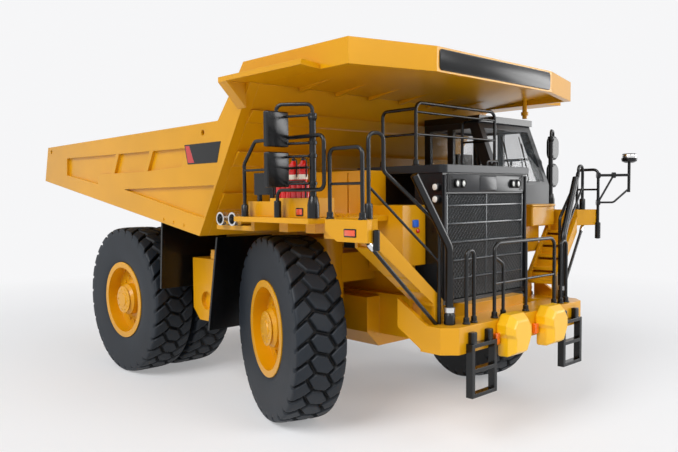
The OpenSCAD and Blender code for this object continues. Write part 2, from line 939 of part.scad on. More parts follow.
// A plate with a net of diamond pockets in its face
module grille() {
    cols = floor(2 * (grille_y - mesh_edge) / mesh_pitch);
    rows = floor((grille_z1 - grille_z0 - 2 * mesh_edge) / mesh_pitch);
    step = [2 * (grille_y - mesh_edge) / cols, (grille_z1 - grille_z0 - 2 * mesh_edge) / rows];
    start = [mesh_edge - grille_y, grille_z0 + mesh_edge];
    color(black) difference() {
        block([radiator_front - grille_t, -grille_y, grille_z0], [radiator_front, grille_y, grille_z1]);
        translate([radiator_front - mesh_depth, 0, 0]) rotate([90, 0, 90]) linear_extrude(mesh_depth + over) {
            for (i = [1:cols], j = [1:rows])
                translate(start + [(i - 1 / 2) * step.x, (j - 1 / 2) * step.y]) diamond(step);
            for (i = [1:cols - 1], j = [1:rows - 1])
                translate(start + [i * step.x, j * step.y]) diamond(step);
        }
    }
}

// One pocket of the net, with half a bar left round it
module diamond(step) {
    half = step / 2 - [mesh_bar, mesh_bar] * sqrt(1 / 2);
    polygon([[-half.x, 0], [0, -half.y], [half.x, 0], [0, half.y]]);
}

// Slab over the engine, rounded at its corners
module hood() {
    front = radiator_front + hood_lip;
    color(charcoal) translate([front - hood_l, 0, hood_z]) linear_extrude(hood_t) {
        translate([hood_corner_r, -hood_y]) square([hood_l - 2 * hood_corner_r, 2 * hood_y]);
        translate([0, hood_corner_r - hood_y]) square([hood_l, 2 * (hood_y - hood_corner_r)]);
        for (x = [hood_corner_r, hood_l - hood_corner_r], s = [-1, 1])
            translate([x, s * (hood_y - hood_corner_r)]) circle(hood_corner_r);
    }
}

module side_boxes() {
    color(paint) {
        right_side() side_box(right_box_l);
        side_box(left_box_l);
    }
}

module side_box(l) {
    block([box_front - l, box_in, deck_z - box_drop], [box_front, box_out, deck_z + box_rise]);
}

module lamps() {
    color("white") both_sides() {
        for (y = lamp_ys) translate([radiator_front, y, hood_z - lamp_drop]) rotate([0, 90, 0])
            cylinder(h = lamp_t, r = lamp_r);
        for (drop = side_lamp_drops)
            shaft(radiator_front - side_lamp_setback, hood_z - drop, lamp_r, radiator_y, radiator_y + lamp_t);
    }
}

// Decks, stairs and what stands on the decks

// Landing of the left stair, its inner edge square to the stair and its rear lower corner cut
module landing(front) {
    rear = deck_front + landing_back;
    low = deck_z - landing_h;
    difference() {
        translate([0, 0, low]) linear_extrude(landing_h) polygon([
            [deck_front - landing_lap, landing_neck_y], [rear, landing_neck_y], [rear, landing_y],
            [front, landing_y], [front, landing_y - landing_nose], stair_head, stair_head_in,
            [deck_front - landing_lap, stair_head_in.y]
        ]);
        across([
            [rear - over, low - over], [rear + landing_cut, low - over], [rear - over, low + landing_cut / 2]
        ], landing_neck_y, landing_y + over);
    }
}

module deck_left() {
    color(paint) {
        block([deck_rear, deck_in, deck_z - deck_t], [deck_front, deck_out, deck_z]);
        landing(landing_front - landing_short);
    }
}

module deck_right() {
    shelf_top = deck_z - shelf_drop;
    notch = box_front - right_box_l - seat;
    color(paint) right_side() {
        block([deck_rear, deck_in, deck_z - deck_t], [notch, deck_y, deck_z]);
        block([deck_rear, box_out + seat, deck_z - deck_t], [deck_front, deck_y, deck_z]);
        block([deck_rear - shelf_l, deck_in, shelf_top - deck_t],
              [deck_rear + riser_t, shelf_y, shelf_top]);
        block([deck_rear, deck_in, shelf_top - deck_t], [deck_rear + riser_t, shelf_y, deck_z]);
        landing(landing_front);
    }
}

module lockers() {
    x0 = deck_rear + locker_back;
    step = locker_l / locker_doors;
    color(paint) right_side() translate([x0, locker_in, deck_z]) difference() {
        cube([locker_l, locker_w, locker_h]);
        for (i = [1:locker_doors - 1])
            translate([i * step - locker_seam / 2, locker_w - locker_seam, locker_seam])
                cube([locker_seam, locker_seam + over, locker_h - 2 * locker_seam]);
    }
}

// Low bin along the deck's edge, its front part one step higher
module side_bin() {
    color(paint) right_side() {
        block([bin_x, bin_out - bin_w, deck_z], [bin_x + bin_l, bin_out, bin_top]);
        block([bin_x + bin_step_back, bin_out - bin_w, deck_z], [bin_x + bin_l, bin_out, bin_step_top]);
    }
}

// Board on two short legs on the bin's lower part
module sign_board() {
    y0 = bin_out - sign_in - sign_t;
    color(black) right_side() {
        translate([bin_x, y0, bin_top + sign_leg_h]) cube([sign_l, sign_t, sign_h]);
        for (x = [bin_x + sign_leg_in, bin_x + sign_l - sign_leg_in - sign_t])
            block([x, y0, bin_top], [x + sign_t, y0 + sign_t, bin_top + sign_leg_h + over]);
    }
}

// A row of short flasks along the bin's edge and two tall bottles behind them
module extinguishers() {
    color(signal_red) right_side() translate([bin_x + bin_step_back, bin_out, bin_step_top]) {
        for (i = [0:1]) translate([bottle_back + i * bottle_step, -bottle_in, 0]) {
            cylinder(h = bottle_h - bottle_r, r = bottle_r);
            translate([0, 0, bottle_h - bottle_r]) cylinder(h = bottle_r, r1 = bottle_r, r2 = bottle_r / 3);
        }
        for (i = [0:flask_count - 1]) translate([flask_back + i * flask_step, -flask_in, 0])
            cylinder(h = flask_h, r = flask_r);
    }
}

// The left stair's own frame: +X climbs from its front stringer's foot, its width lies along +Y
module stair_place() {
    translate([stair_foot.x, stair_foot.y, bumper_top]) rotate([0, 0, 180 - stair_turn]) children();
}

module stair() {
    head = stair_rise - stair_head_drop;
    rise = (head - stringer_foot_h) / stair_treads;
    going = stair_run / stair_treads;
    outline = [
        [0, 0], [stringer_foot, 0], [stringer_foot, stringer_knee], [stair_run, head - stringer_h],
        [stair_run, head], [0, stringer_foot_h]
    ];
    color(paint) {
        across(outline, 0, stringer_t);
        across(outline, stair_w - stringer_t, stair_w);
        for (i = [0:stair_treads - 1]) translate([i * going, 0, stringer_foot_h + i * rise - tread_drop])
            cube([tread_l, stair_w, tread_t]);
    }
}

module stair_left() {
    stair_place() stair();
}

module stair_right() {
    right_side() stair_left();
}

module exhaust_pipes() {
    z = deck_z - shelf_drop + pipe_r;
    x = deck_rear - pipe_back;
    end = shelf_y + pipe_out;
    color(steel) right_side() for (back = [0, pipe_step]) difference() {
        shaft(x - back, z, pipe_r, end - pipe_l, end);
        shaft(x - back, z, pipe_r - pipe_wall, shelf_y, end + over);
    }
}

// Handrails

// Hoop along the right deck, a low rail beside the bin, the landing's rail and those of the stair
module rails_right() {
    y = -deck_y + hoop_inset;
    ly = -landing_y + edge;
    rear = deck_rear + hoop_back;
    front = deck_front + hoop_ahead;
    low = deck_z + low_rail_h;
    color(black) {
        bar([rear, y, deck_z], [rear, y, deck_z + hoop_knee + rail_d / 2], rail_d);
        bar([rear, y, deck_z + hoop_knee], [rear + hoop_lean, y, deck_z + deck_rail_h], post_d);
        tube([
            [rear + hoop_lean - rail_d / 2, y, deck_z + deck_rail_h], [front, y, deck_z + deck_rail_h],
            [front, y, low], [mirror_x, y, low]
        ], rail_d);
        bar([rear, y, deck_z + mid_rail_h], [mirror_x, y, deck_z + mid_rail_h], mid_d);
        tube([
            [deck_rear + low_rail_back, y, deck_z], [deck_rear + low_rail_back, y, low],
            [mirror_x + rail_d, y, low]
        ], post_d);
        handrail([deck_front + landing_back + edge, ly, deck_z],
                 [landing_front - landing_rail_setback, ly, deck_z], landing_rail_h);
        right_side() stair_rails(right_loop_h);
    }
}

module rails_left() {
    y = deck_out - hoop_inset;
    ly = landing_y - edge;
    front = landing_front - left_rail_setback;
    color(black) {
        handrail([deck_rear + edge, y, deck_z],
                 [mirror_x - mirror_back_left - mirror_t - rail_d, y, deck_z], left_deck_rail_h, 3);
        handrail([front - left_rail_l, ly, deck_z], [front, ly, deck_z], left_rail_h);
        stair_rails(left_loop_h);
    }
}

// Rails of the left stair, drawn in its own frame just ahead of its front stringer
module stair_rails(loop_h) {
    y = -rail_d / 2 - seat;
    arm_y = y - rail_d / 2 - seat - arm_d / 2;
    out = stair_run + loop_reach;
    back = stair_run - loop_back;
    top = stair_rise + loop_h;
    stair_place() {
        bar([out, y, stair_rise], [out, y, top + rail_d / 2], rail_d);
        bar([back, y, stair_rise + upper_bar_h - rail_d], [back, y, top + rail_d / 2], rail_d);
        bar([bar_foot, y, 0], [bar_foot, y, upper_bar_foot_h + rail_d], rail_d);
        bar([out, y, top], [back, y, top], post_d);
        bar([back, y, stair_rise + upper_bar_h], [bar_foot, y, upper_bar_foot_h], post_d);
        bar([out, y, stair_rise + lower_bar_h], [bar_foot, y, lower_bar_foot_h], mid_d);
        bar([0, arm_y, 0], [0, arm_y, arm_knee + arm_d / 2], arm_d);
        bar([0, arm_y, arm_knee], [arm_run, arm_y, arm_top], arm_d - 2 * seat);
        bar([brace_foot, y, rail_d], [out, y, stair_rise - landing_h - rail_d], rail_d);
    }
}

// One wide hoop with a post between the pods and a narrow hoop at each side of it
module rails_front() {
    x = bumper_front - bumper_rail_setback;
    color(black) {
        handrail([x, bumper_rail_right, bumper_top], [x, bumper_rail_left, bumper_top], bumper_rail_h, 3,
                 bumper_mid_share);
        both_sides() handrail([x, side_hoop_y, bumper_top], [x, side_hoop_y + side_hoop_w, bumper_top],
                              side_hoop_h, 2, 0);
    }
}

module rails_hood() {
    x = radiator_front + hood_lip - hood_rail_back;
    top = hood_z + hood_t;
    color(black) {
        for (y = [-hood_rail_y, hood_rail_y])
            handrail([x - hood_rail_l, y, top], [x, y, top], hood_rail_h);
        for (z = [top + hood_rail_h - bend_r - rail_d, top + hood_rail_h / 2])
            bar([x, -hood_rail_y, z], [x, hood_rail_y, z], mid_d);
    }
}

// Two heads one above the other, back from a post near the front corner of the deck's edge
module mirror_pair(deck_edge, back) {
    post_y = deck_edge - mirror_inset;
    head_in = deck_edge - hoop_inset + rail_d / 2 + 2 * seat;
    head_y = (head_in + side_y) / 2;
    head_x = mirror_x - back;
    top = deck_z + mirror_top;
    hoop = top + mirror_hoop_h;
    color(black) {
        bar([mirror_x, post_y, deck_z], [mirror_x, post_y, top - mirror_t], mirror_post_d);
        tube([
            [mirror_x, post_y, top - mirror_h / 2], [mirror_x, post_y, hoop], [head_x, head_y, hoop],
            [head_x, head_y, top - mirror_h / 2]
        ], mid_d);
        for (low = [top - mirror_h, top - 2 * mirror_h - mirror_gap]) {
            block([head_x - mirror_t / 2, head_in, low], [head_x + mirror_t / 2, side_y, low + mirror_h]);
            for (z = [low + mirror_t, low + mirror_h - 2 * mirror_t])
                bar([mirror_x, post_y, z], [head_x, head_y, z], mid_d);
        }
    }
}

module mirrors_left() {
    mirror_pair(deck_out, mirror_back_left);
}

module mirrors_right() {
    right_side() mirror_pair(deck_y, mirror_back_right);
}

// Braced arm ahead of the left landing's rail, with a beacon on the stem at its end
module beacon_arm() {
    leg = [landing_front - left_rail_setback, landing_y - edge, deck_z];
    tip = [landing_front + beacon_reach, side_y - beacon_r, deck_z];
    start = leg + unit(tip - leg) * rail_d;
    knee = (start + tip) / 2;
    upper = [0, 0, beacon_arm_h];
    lower = [0, 0, beacon_foot_h];
    color(black) {
        bar(start + upper, tip + upper, post_d);
        tube([start + lower, knee + lower, tip + (upper + lower) / 2], mid_d);
        bar(start + lower, knee + upper, mid_d);
        bar(tip + (upper + lower) / 2 - [0, 0, rail_d], tip + [0, 0, beacon_rise + rail_d], rail_d);
        translate([tip.x, tip.y, deck_z + beacon_rise]) cylinder(h = beacon_h, r = beacon_r);
    }
}

// Cab

// Side outline of the cab, drawn in by an inset
function cab_outline(inset) = [
    [cab_rear + inset, deck_z + inset], [cab_front - inset, deck_z + inset],
    [cab_front - inset, deck_z + cab_sill], [cab_front - cab_rake - inset, cab_top - inset],
    [cab_rear + inset, cab_top - inset]
];

module cab_shell() {
    color(charcoal) difference() {
        across(cab_outline(0), cab_in, cab_out);
        across(cab_outline(cab_t), cab_in + cab_t, cab_out - cab_t);
        cab_windows(over);
    }
}

// The window openings, or with no overrun the panes that fill them
module cab_windows(reach) {
    z0 = deck_z + window_sill;
    z1 = cab_top - window_drop;
    rake = cab_rake / (cab_top - deck_z - cab_sill);
    front0 = cab_front - rake * (z0 - deck_z - cab_sill);
    front1 = cab_front - rake * (z1 - deck_z - cab_sill);
    mid = (cab_rear + cab_front - cab_rake) / 2;
    inset = reach > 0 ? 0 : seat;
    t = reach > 0 ? cab_t : glass_t;
    for (y = [cab_in - reach, cab_out - t]) across([
        [mid + mid_pillar / 2 + inset, z0 + inset], [front0 - pillar - cab_t - inset, z0 + inset],
        [front1 - pillar - cab_t - inset, z1 - inset], [mid + mid_pillar / 2 + inset, z1 - inset]
    ], y, y + t + reach);
    for (y = [cab_in - reach, cab_out - t]) across([
        [cab_rear + pillar + inset, z0 + inset], [mid - mid_pillar / 2 - inset, z0 + inset],
        [mid - mid_pillar / 2 - inset, z1 - inset], [cab_rear + pillar + inset, z1 - inset]
    ], y, y + t + reach);
    across([
        [front0 - t - reach, z0 + inset], [front0 + reach, z0 + inset],
        [front1 + reach, z1 - inset], [front1 - t - reach, z1 - inset]
    ], cab_in + pillar + inset, cab_out - pillar - inset);
    block([cab_rear - reach, cab_in + pillar + inset, z0 + inset],
          [cab_rear + t + reach, cab_out - pillar - inset, z1 - inset]);
}

module cab_glass() {
    color(pane) cab_windows(0);
}

module cab_roof() {
    color(black) block([cab_rear, cab_in - seat, cab_top],
                       [cab_front - cab_rake + roof_lip, cab_out + roof_lip, cab_top + roof_t]);
}

// Operator's seat, dashboard and steering wheel on the cab's floor
module cab_seat() {
    floor_top = deck_z + cab_t;
    y = (cab_in + cab_out) / 2;
    x0 = cab_rear + cab_t + seat_back_t;
    dash_x = cab_front - cab_t - dash_l;
    wheel_at = [dash_x - column_l, y, floor_top + dash_h + column_l];
    color(black) {
        block([x0, y - seat_w / 2, floor_top], [x0 + seat_l, y + seat_w / 2, floor_top + seat_h]);
        block([x0, y - seat_w / 2, floor_top + seat_h - over],
              [x0 + seat_back_t, y + seat_w / 2, floor_top + seat_h + seat_back_h]);
        block([dash_x, cab_in + pillar, floor_top],
              [dash_x + dash_l - seat, cab_out - pillar, floor_top + dash_h]);
        bar([dash_x + column_r, y, floor_top + dash_h - over], wheel_at, 2 * column_r);
        translate(wheel_at) rotate([0, -wheel_tilt, 0]) difference() {
            cylinder(h = wheel_t, r = wheel_r);
            for (a = [0, 90, 180, 270]) rotate([0, 0, a])
                translate([column_r, column_r, -over]) cube([wheel_r / 2, wheel_r / 2, wheel_t + 2 * over]);
        }
    }
}

// Tanks and mud flaps

module tanks() {
    x0 = rear_x + tank_ahead;
    x1 = x0 + tank_l;
    low = axle_z - tank_low;
    top = axle_z + tank_high;
    recess_z = low + tank_bevel + tank_recess_r;
    color(paint) both_sides() {
        difference() {
            across([
                [x0, top], [x0, low + tank_bevel], [x0 + tank_bevel, low], [x1 - tank_bevel, low],
                [x1, low + tank_bevel], [x1, top]
            ], rail_out, tank_out);
            shaft((x0 + x1) / 2, recess_z, tank_recess_r, tank_out - tank_recess_t, tank_out + over);
        }
        translate([(x0 + x1) / 2, tank_out - tank_bevel, top]) cylinder(h = tank_cap_h, r = tank_cap_r);
    }
}

// A flap's outline, raked from its top to its foot
function flap_outline(x, top, foot, rake) = [
    [x - flap_t / 2, top], [x - rake - flap_t / 2, foot],
    [x - rake + flap_t / 2, foot], [x + flap_t / 2, top]
];

module front_flaps() {
    top = axle_z + front_flap_top_rise;
    color(black) both_sides()
        across(flap_outline(flap_x(top), top, axle_z - front_flap_low, front_flap_rake), flap_in, flap_out);
}

module rear_flaps() {
    x = rear_x + rear_flap_ahead + rear_flap_rake;
    top = floor_z(x + flap_t / 2);
    color(black) both_sides()
        across(flap_outline(x, top, axle_z + rear_flap_rise, rear_flap_rake), flap_in, rear_flap_out);
}

// Dump body

module body_floor() {
    color(paint) difference() {
        union() {
            across([
                [tail_x, tail_z], [floor_end(0, wall_run), floor_z(floor_end(0, wall_run))],
                [floor_end(floor_t, wall_run), floor_z(floor_end(floor_t, wall_run)) + floor_t],
                [tail_x + tail_slant * floor_t / (side_z - tail_z), floor_z(tail_x) + floor_t]
            ], -body_in, body_in);
            both_sides() {
                bolster();
                hinge_lug();
                hoist_clevis();
            }
        }
        shaft(hinge_x, hinge_z, hinge_pin_r + fit, -hinge_pin_y - over, hinge_pin_y + over);
    }
}

// Long beam under the floor that rests along the frame's rail
module bolster() {
    x0 = hinge_x + bolster_back;
    x1 = foot_x - bolster_front;
    low = rail_top + bolster_gap;
    across([[x0, low], [x1, low], [x1, floor_z(x1) + over], [x0, floor_z(x0) + over]],
           rail_in + bolster_inset, rail_out - bolster_inset);
}

module hinge_lug() {
    wide = lug_r + lug_flare;
    shaft(hinge_x, hinge_z, lug_r, lug_in, lug_out);
    across([
        [hinge_x - lug_r, hinge_z], [hinge_x + lug_r, hinge_z],
        [hinge_x + wide, floor_z(hinge_x + wide) + over], [hinge_x - wide, floor_z(hinge_x - wide) + over]
    ], lug_in, lug_out);
}

// Two cheeks beside the eye of the hoist's rod
module hoist_clevis() {
    half = rod_eye_w / 2 + pass;
    for (y = [hoist_y - half - clevis_t, hoist_y + half]) {
        shaft(eye_x, eye_z, clevis_r, y, y + clevis_t);
        across([
            [eye_x - clevis_r, eye_z], [eye_x + clevis_r, eye_z],
            [eye_x + clevis_r, floor_z(eye_x + clevis_r) + over],
            [eye_x - clevis_r, floor_z(eye_x - clevis_r) + over]
        ], y, y + clevis_t);
    }
}

// Left wall: one panel from the tail to the ear beside the canopy, with its recesses
module body_side() {
    rail_x = wall_x(side_z) - ear_l;
    color(paint) difference() {
        across([
            [tail_x, tail_z], [foot_x, body_z], [wall_x(canopy_z), canopy_z],
            [wall_x(canopy_z) - ear_top_l, canopy_z], [rail_x, side_z],
            [tail_x + tail_slant, side_z - rail_fall]
        ], body_in, body_y);
        for (shares = concat(upper_recess_shares, [lower_recess_shares]))
            across([for (s = shares) side_point(s)], body_y - recess_t, body_y + over);
        for (x = [tail_x + tail_slant + eyelet_tail, rail_x - eyelet_front])
            shaft(x, side_z - rail_fall - eyelet_drop, eyelet_r, body_in - over, body_y + over);
    }
}

module body_side_left() {
    body_side();
}

module body_side_right() {
    right_side() body_side();
}

module body_front_wall() {
    color(paint) {
        across([
            [foot_x, body_z], [wall_x(canopy_z), canopy_z],
            [wall_x(canopy_z) - wall_run, canopy_z], [foot_x - wall_run, body_z]
        ], -body_in, body_in);
        for (s = wall_band_shares) {
            z0 = body_z + s[0] * (canopy_z - body_z);
            z1 = body_z + s[1] * (canopy_z - body_z);
            across([
                [wall_x(z0) - over, z0], [wall_x(z0) + wall_band_t, z0 + wall_band_t],
                [wall_x(z1) + wall_band_t, z1], [wall_x(z1) - over, z1]
            ], -body_in, body_in);
        }
    }
}

// Plan of the canopy's lip, drawn in by an inset
function canopy_outline(inset) = [
    [wall_x(canopy_z) - ear_top_l - inset, -canopy_y + inset],
    [canopy_front - canopy_nose_back - inset, -canopy_y + inset],
    [canopy_front - inset, -canopy_nose_y + inset / 2], [canopy_front - inset, canopy_nose_y - inset / 2],
    [canopy_front - canopy_nose_back - inset, canopy_y - inset],
    [wall_x(canopy_z) - ear_top_l - inset, canopy_y - inset]
];

// A lip all round but at the rear, the plate that climbs inside it and a wing at each side
module body_canopy() {
    rear = wall_x(canopy_z) - ear_top_l;
    wing_front = front_x + wing_front_ahead;
    top = canopy_z + canopy_h;
    color(paint) {
        difference() {
            translate([0, 0, canopy_z]) linear_extrude(canopy_h) difference() {
                polygon(canopy_outline(0));
                polygon(canopy_outline(lip_wall_t));
            }
            across([
                [rear - over, canopy_z + canopy_t], [rear + lip_slant, top + over], [rear - over, top + over]
            ], -canopy_y - over, canopy_y + over);
        }
        intersection() {
            translate([0, 0, canopy_z]) linear_extrude(canopy_h) polygon(canopy_outline(lip_wall_t / 2));
            across([
                [rear, canopy_z], [wall_x(canopy_z), canopy_z], [canopy_front, canopy_under(canopy_front)],
                [canopy_front, canopy_under(canopy_front) + canopy_t],
                [wall_x(canopy_z), canopy_z + canopy_t], [rear, canopy_z + canopy_t]
            ], -canopy_y, canopy_y);
        }
        translate([0, 0, canopy_z]) linear_extrude(canopy_t) for (s = [-1, 1]) polygon([
            [rear, s * (canopy_y - over)], [rear + wing_rear_slant, s * wing_y],
            [wing_front, s * wing_y], [wing_front - wing_front_slant, s * (canopy_y - over)]
        ]);
        for (s = [-1, 1], y = canopy_rib_ys) translate([0, s * y, 0]) canopy_rib();
        hanging_post();
        both_sides() translate([rear + wing_rear_slant, 0, 0]) wing_gusset();
    }
}

// Wedge under the plate, deepest at the front wall
module canopy_rib() {
    x0 = wall_x(canopy_z) + pass;
    x1 = x0 + canopy_rib_l;
    across([
        [x0, canopy_z - canopy_rib_h], [x1, canopy_under(x1)], [x1, canopy_under(x1) + canopy_t / 2],
        [x0, canopy_under(x0) + canopy_t / 2]
    ], -canopy_rib_w / 2, canopy_rib_w / 2);
}

// Post with a collar that hangs from the plate down to the cab's roof
module hanging_post() {
    x = front_x + hanging_post_ahead;
    low = cab_top + roof_t + pass;
    translate([x, hanging_post_y, low]) {
        cylinder(h = canopy_under(x) + canopy_t / 2 - low, d = hanging_post_d);
        translate([0, 0, hanging_collar_h]) cylinder(h = hanging_collar_h, d = hanging_collar_d);
    }
}

// Wedge from the side wall up to the edge of the left wing
module wing_gusset() {
    top = canopy_z + canopy_t / 2;
    rotate([90, 0, 90]) linear_extrude(wing_gusset_l) polygon([
        [body_y, canopy_z - wing_gusset_h], [wing_y, canopy_z], [wing_y, top], [body_y, top]
    ]);
}

// Hoist cylinders in their own frame: the lower pin at the origin, the rod along +Z

module hoist_place() {
    translate([hoist_x, hoist_y, hoist_z]) rotate([0, hoist_lean, 0]) children();
}

module hoist_barrel() {
    color(charcoal) hoist_place() difference() {
        union() {
            shaft(0, 0, hoist_eye_r, -hoist_w / 2, hoist_w / 2);
            cylinder(h = barrel_l, r = hoist_r);
            translate([0, 0, barrel_l - gland_l]) cylinder(h = gland_l, r = gland_r);
        }
        shaft(0, 0, hoist_pin_r + fit, -hoist_w / 2 - over, hoist_w / 2 + over);
        translate([0, 0, rod_foot - over]) cylinder(h = hoist_l, r = rod_r + fit);
    }
}

module hoist_rod() {
    color(steel) hoist_place() difference() {
        union() {
            translate([0, 0, rod_foot]) cylinder(h = hoist_l - rod_foot, r = rod_r);
            shaft(0, hoist_l, rod_eye_r, -rod_eye_w / 2, rod_eye_w / 2);
        }
        shaft(0, hoist_l, rod_eye_bore_r, -rod_eye_w, rod_eye_w);
    }
}

frame();
front_bumper();
engine_block();
radiator();
grille();
hood();
side_boxes();
deck_right();
deck_left();
lockers();
side_bin();
stair_right();
stair_left();
ladders();
rails_right();
rails_left();
rails_front();
rails_hood();
mirrors_right();
mirrors_left();
beacon_arm();
cab_shell();
cab_roof();
cab_glass();
cab_seat();
exhaust_pipes();
extinguishers();
sign_board();
headlamp_pods();
lamps();
front_struts();
rear_axle();
tanks();
front_flaps();
steered_left() knuckle();  // knuckle_left
steered_right() knuckle();  // knuckle_right
steered_left() front_rim();  // front_rim_left
steered_right() front_rim();  // front_rim_right
steered_left() tyre(front_x, front_y);  // front_tyre_left
steered_right() tyre(front_x, front_y);  // front_tyre_right
rear_rims();  // rear_rims_left
right_side() rear_rims();  // rear_rims_right
for (y = [twin_y, rear_y]) tyre(rear_x, y);  // rear_tyres_left
right_side() for (y = [twin_y, rear_y]) tyre(rear_x, y);  // rear_tyres_right
body_floor();
body_side_left();
body_side_right();
body_front_wall();
body_canopy();
rear_flaps();
hoist_barrel();  // hoist_barrel_left
right_side() hoist_barrel();  // hoist_barrel_right
hoist_rod();  // hoist_rod_left
right_side() hoist_rod();  // hoist_rod_right
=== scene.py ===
# %% [markdown]
# # A die-cast mining truck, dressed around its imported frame
#
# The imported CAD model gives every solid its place. This lesson adds what a moulding tool and a
# paint shop add: tread on the tyres, bends in the rails, wire in the grille, bolts, lenses and paint.
# Every new piece is a numpy surface: a grid of points, or a section carried along a path.

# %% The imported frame
import json
import math

import bpy
import numpy as np
from mathutils import Matrix, Vector


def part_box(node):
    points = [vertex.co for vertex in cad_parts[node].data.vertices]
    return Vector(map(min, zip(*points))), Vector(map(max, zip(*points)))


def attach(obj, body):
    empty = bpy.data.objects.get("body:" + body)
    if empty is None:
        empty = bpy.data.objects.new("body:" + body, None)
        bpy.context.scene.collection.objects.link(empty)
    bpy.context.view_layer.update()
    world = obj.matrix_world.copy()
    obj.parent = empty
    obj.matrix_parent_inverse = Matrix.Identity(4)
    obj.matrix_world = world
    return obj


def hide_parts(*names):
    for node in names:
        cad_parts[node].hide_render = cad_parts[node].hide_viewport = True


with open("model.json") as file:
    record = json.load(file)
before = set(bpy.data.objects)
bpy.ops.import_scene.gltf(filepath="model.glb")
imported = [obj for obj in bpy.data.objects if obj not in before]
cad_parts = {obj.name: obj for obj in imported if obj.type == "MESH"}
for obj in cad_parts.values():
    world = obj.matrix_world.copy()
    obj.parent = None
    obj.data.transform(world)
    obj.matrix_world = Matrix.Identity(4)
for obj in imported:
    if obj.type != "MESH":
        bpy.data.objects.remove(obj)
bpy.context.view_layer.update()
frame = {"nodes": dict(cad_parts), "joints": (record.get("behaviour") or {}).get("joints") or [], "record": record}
JOINTS = {j["name"]: j for j in frame["joints"]}
SLOTS = {p["node"]: p["material_slot"] for p in frame["record"]["subparts"]}
MM = 0.001
X, Y, Z = np.eye(3)

# %% [markdown]
# ## Paint, plastic and rubber
#
# A die-cast model is sprayed metal: a thin satin coat over a faintly uneven ground. The edges are painted
# lighter, a painted highlight where light catches them, and broad soft patches keep large faces from looking
# flat. A painted picture could hold this, but every solid would have to be unwrapped for it. Noise on
# Object coordinates needs no unwrapping, and the edge mask only compares the true normal with one that
# is rounded over a few tenths of a millimetre. Colours are written as they look.

# %% Colours and nodes
COAT_ROUGHNESS = 0.12
EDGE_STARTS, EDGE_FULL = 0.99, 0.75
MIX_FIRST, MIX_SECOND, MIX_RESULT = 6, 7, 2


def linear(r, g, b):
    """Linear colour of an sRGB one: each channel to the power 2.4 above the toe, as the standard says."""
    c = np.array([r, g, b])
    return (*np.where(c > 0.04045, ((c + 0.055) / 1.055) ** 2.4, c / 12.92), 1.0)


def feed(tree, target, inputs):
    """Each input of a node is linked where it is given a socket, and set where it is given a value."""
    for key, value in inputs.items():
        if isinstance(value, bpy.types.NodeSocket):
            tree.links.new(value, target.inputs[key])
        else:
            target.inputs[key].default_value = value


def node(tree, kind, inputs=None, **settings):
    """A new shader node, with its settings made before its inputs are fed."""
    made = tree.nodes.new(f"ShaderNode{kind}")
    for key, value in settings.items():
        setattr(made, key, value)
    feed(tree, made, inputs or {})
    return made


def surface_tree(name, roughness, metallic=0.0, coat=0.0, shine=0.5):
    """A new material with a principled surface: the material, its node tree and that surface."""
    made = bpy.data.materials.new(name)
    made.use_nodes = True
    surface = made.node_tree.nodes["Principled BSDF"]
    feed(made.node_tree, surface, {
        "Roughness": roughness, "Specular IOR Level": shine, "Metallic": metallic,
        "Coat Weight": coat, "Coat Roughness": COAT_ROUGHNESS,
    })
    return made, made.node_tree, surface


def noise_on(tree, scale, detail=2.0):
    """Noise over Object coordinates, with scale waves to the metre."""
    place = node(tree, "TexCoord").outputs["Object"]
    return node(tree, "TexNoise", {"Vector": place, "Scale": scale, "Detail": detail}).outputs["Fac"]


def ranged(tree, value, from_low, from_high, to_low, to_high):
    """A value carried in a straight line from one range to another and held at its ends."""
    ends = {"From Min": from_low, "From Max": from_high, "To Min": to_low, "To Max": to_high}
    return node(tree, "MapRange", {"Value": value, **ends}).outputs["Result"]


def mixed(tree, share, first, second):
    """Two colours mixed by a share: each is a socket or a written colour."""
    inputs = {"Factor": share, MIX_FIRST: first, MIX_SECOND: second}
    return node(tree, "Mix", inputs, data_type="RGBA").outputs[MIX_RESULT]


def edge_share(tree, soft_normal):
    """How near an edge a point is, 0 to 1: a ramp on the cosine between the true and the rounded normal."""
    true = node(tree, "NewGeometry").outputs["True Normal"]
    dot = node(tree, "VectorMath", {0: true, 1: soft_normal}, operation="DOT_PRODUCT")
    return ranged(tree, dot.outputs["Value"], EDGE_STARTS, EDGE_FULL, 0.0, 1.0)


print("node helpers ready")

# %% Sprayed paint
PATCH_WAVES, PATCH_BAND = 28.0, (0.35, 0.65)
GRAIN_WAVES, GRAIN_DEPTH = 1400.0, 0.006


def paint(name, srgb, roughness, coat=0.0, edge_mm=0.3, patch=0.10, edge_highlight=0.35, shine=0.5):
    """Sprayed metal or plastic: patches a little darker, edges painted a little lighter as a painted highlight,
    fine grain as a bump.
    """
    made, tree, surface = surface_tree(name, roughness, coat=coat, shine=shine)
    deep = linear(*(c * (1 - patch) for c in srgb))
    # Painted highlight: the edges' colour is the paint's own colour lightened by the given share.
    highlight = linear(*(c + edge_highlight * (1 - c) for c in srgb))
    bevel = node(tree, "Bevel", {"Radius": edge_mm * MM}, samples=4).outputs["Normal"]
    patches = ranged(tree, noise_on(tree, PATCH_WAVES, 3.0), *PATCH_BAND, 0.0, 1.0)
    base = mixed(tree, patches, deep, linear(*srgb))
    grain = {"Distance": GRAIN_DEPTH * MM, "Height": noise_on(tree, GRAIN_WAVES), "Normal": bevel}
    feed(tree, surface, {
        "Base Color": mixed(tree, edge_share(tree, bevel), base, highlight),
        "Normal": node(tree, "Bump", grain).outputs["Normal"],
    })
    return made


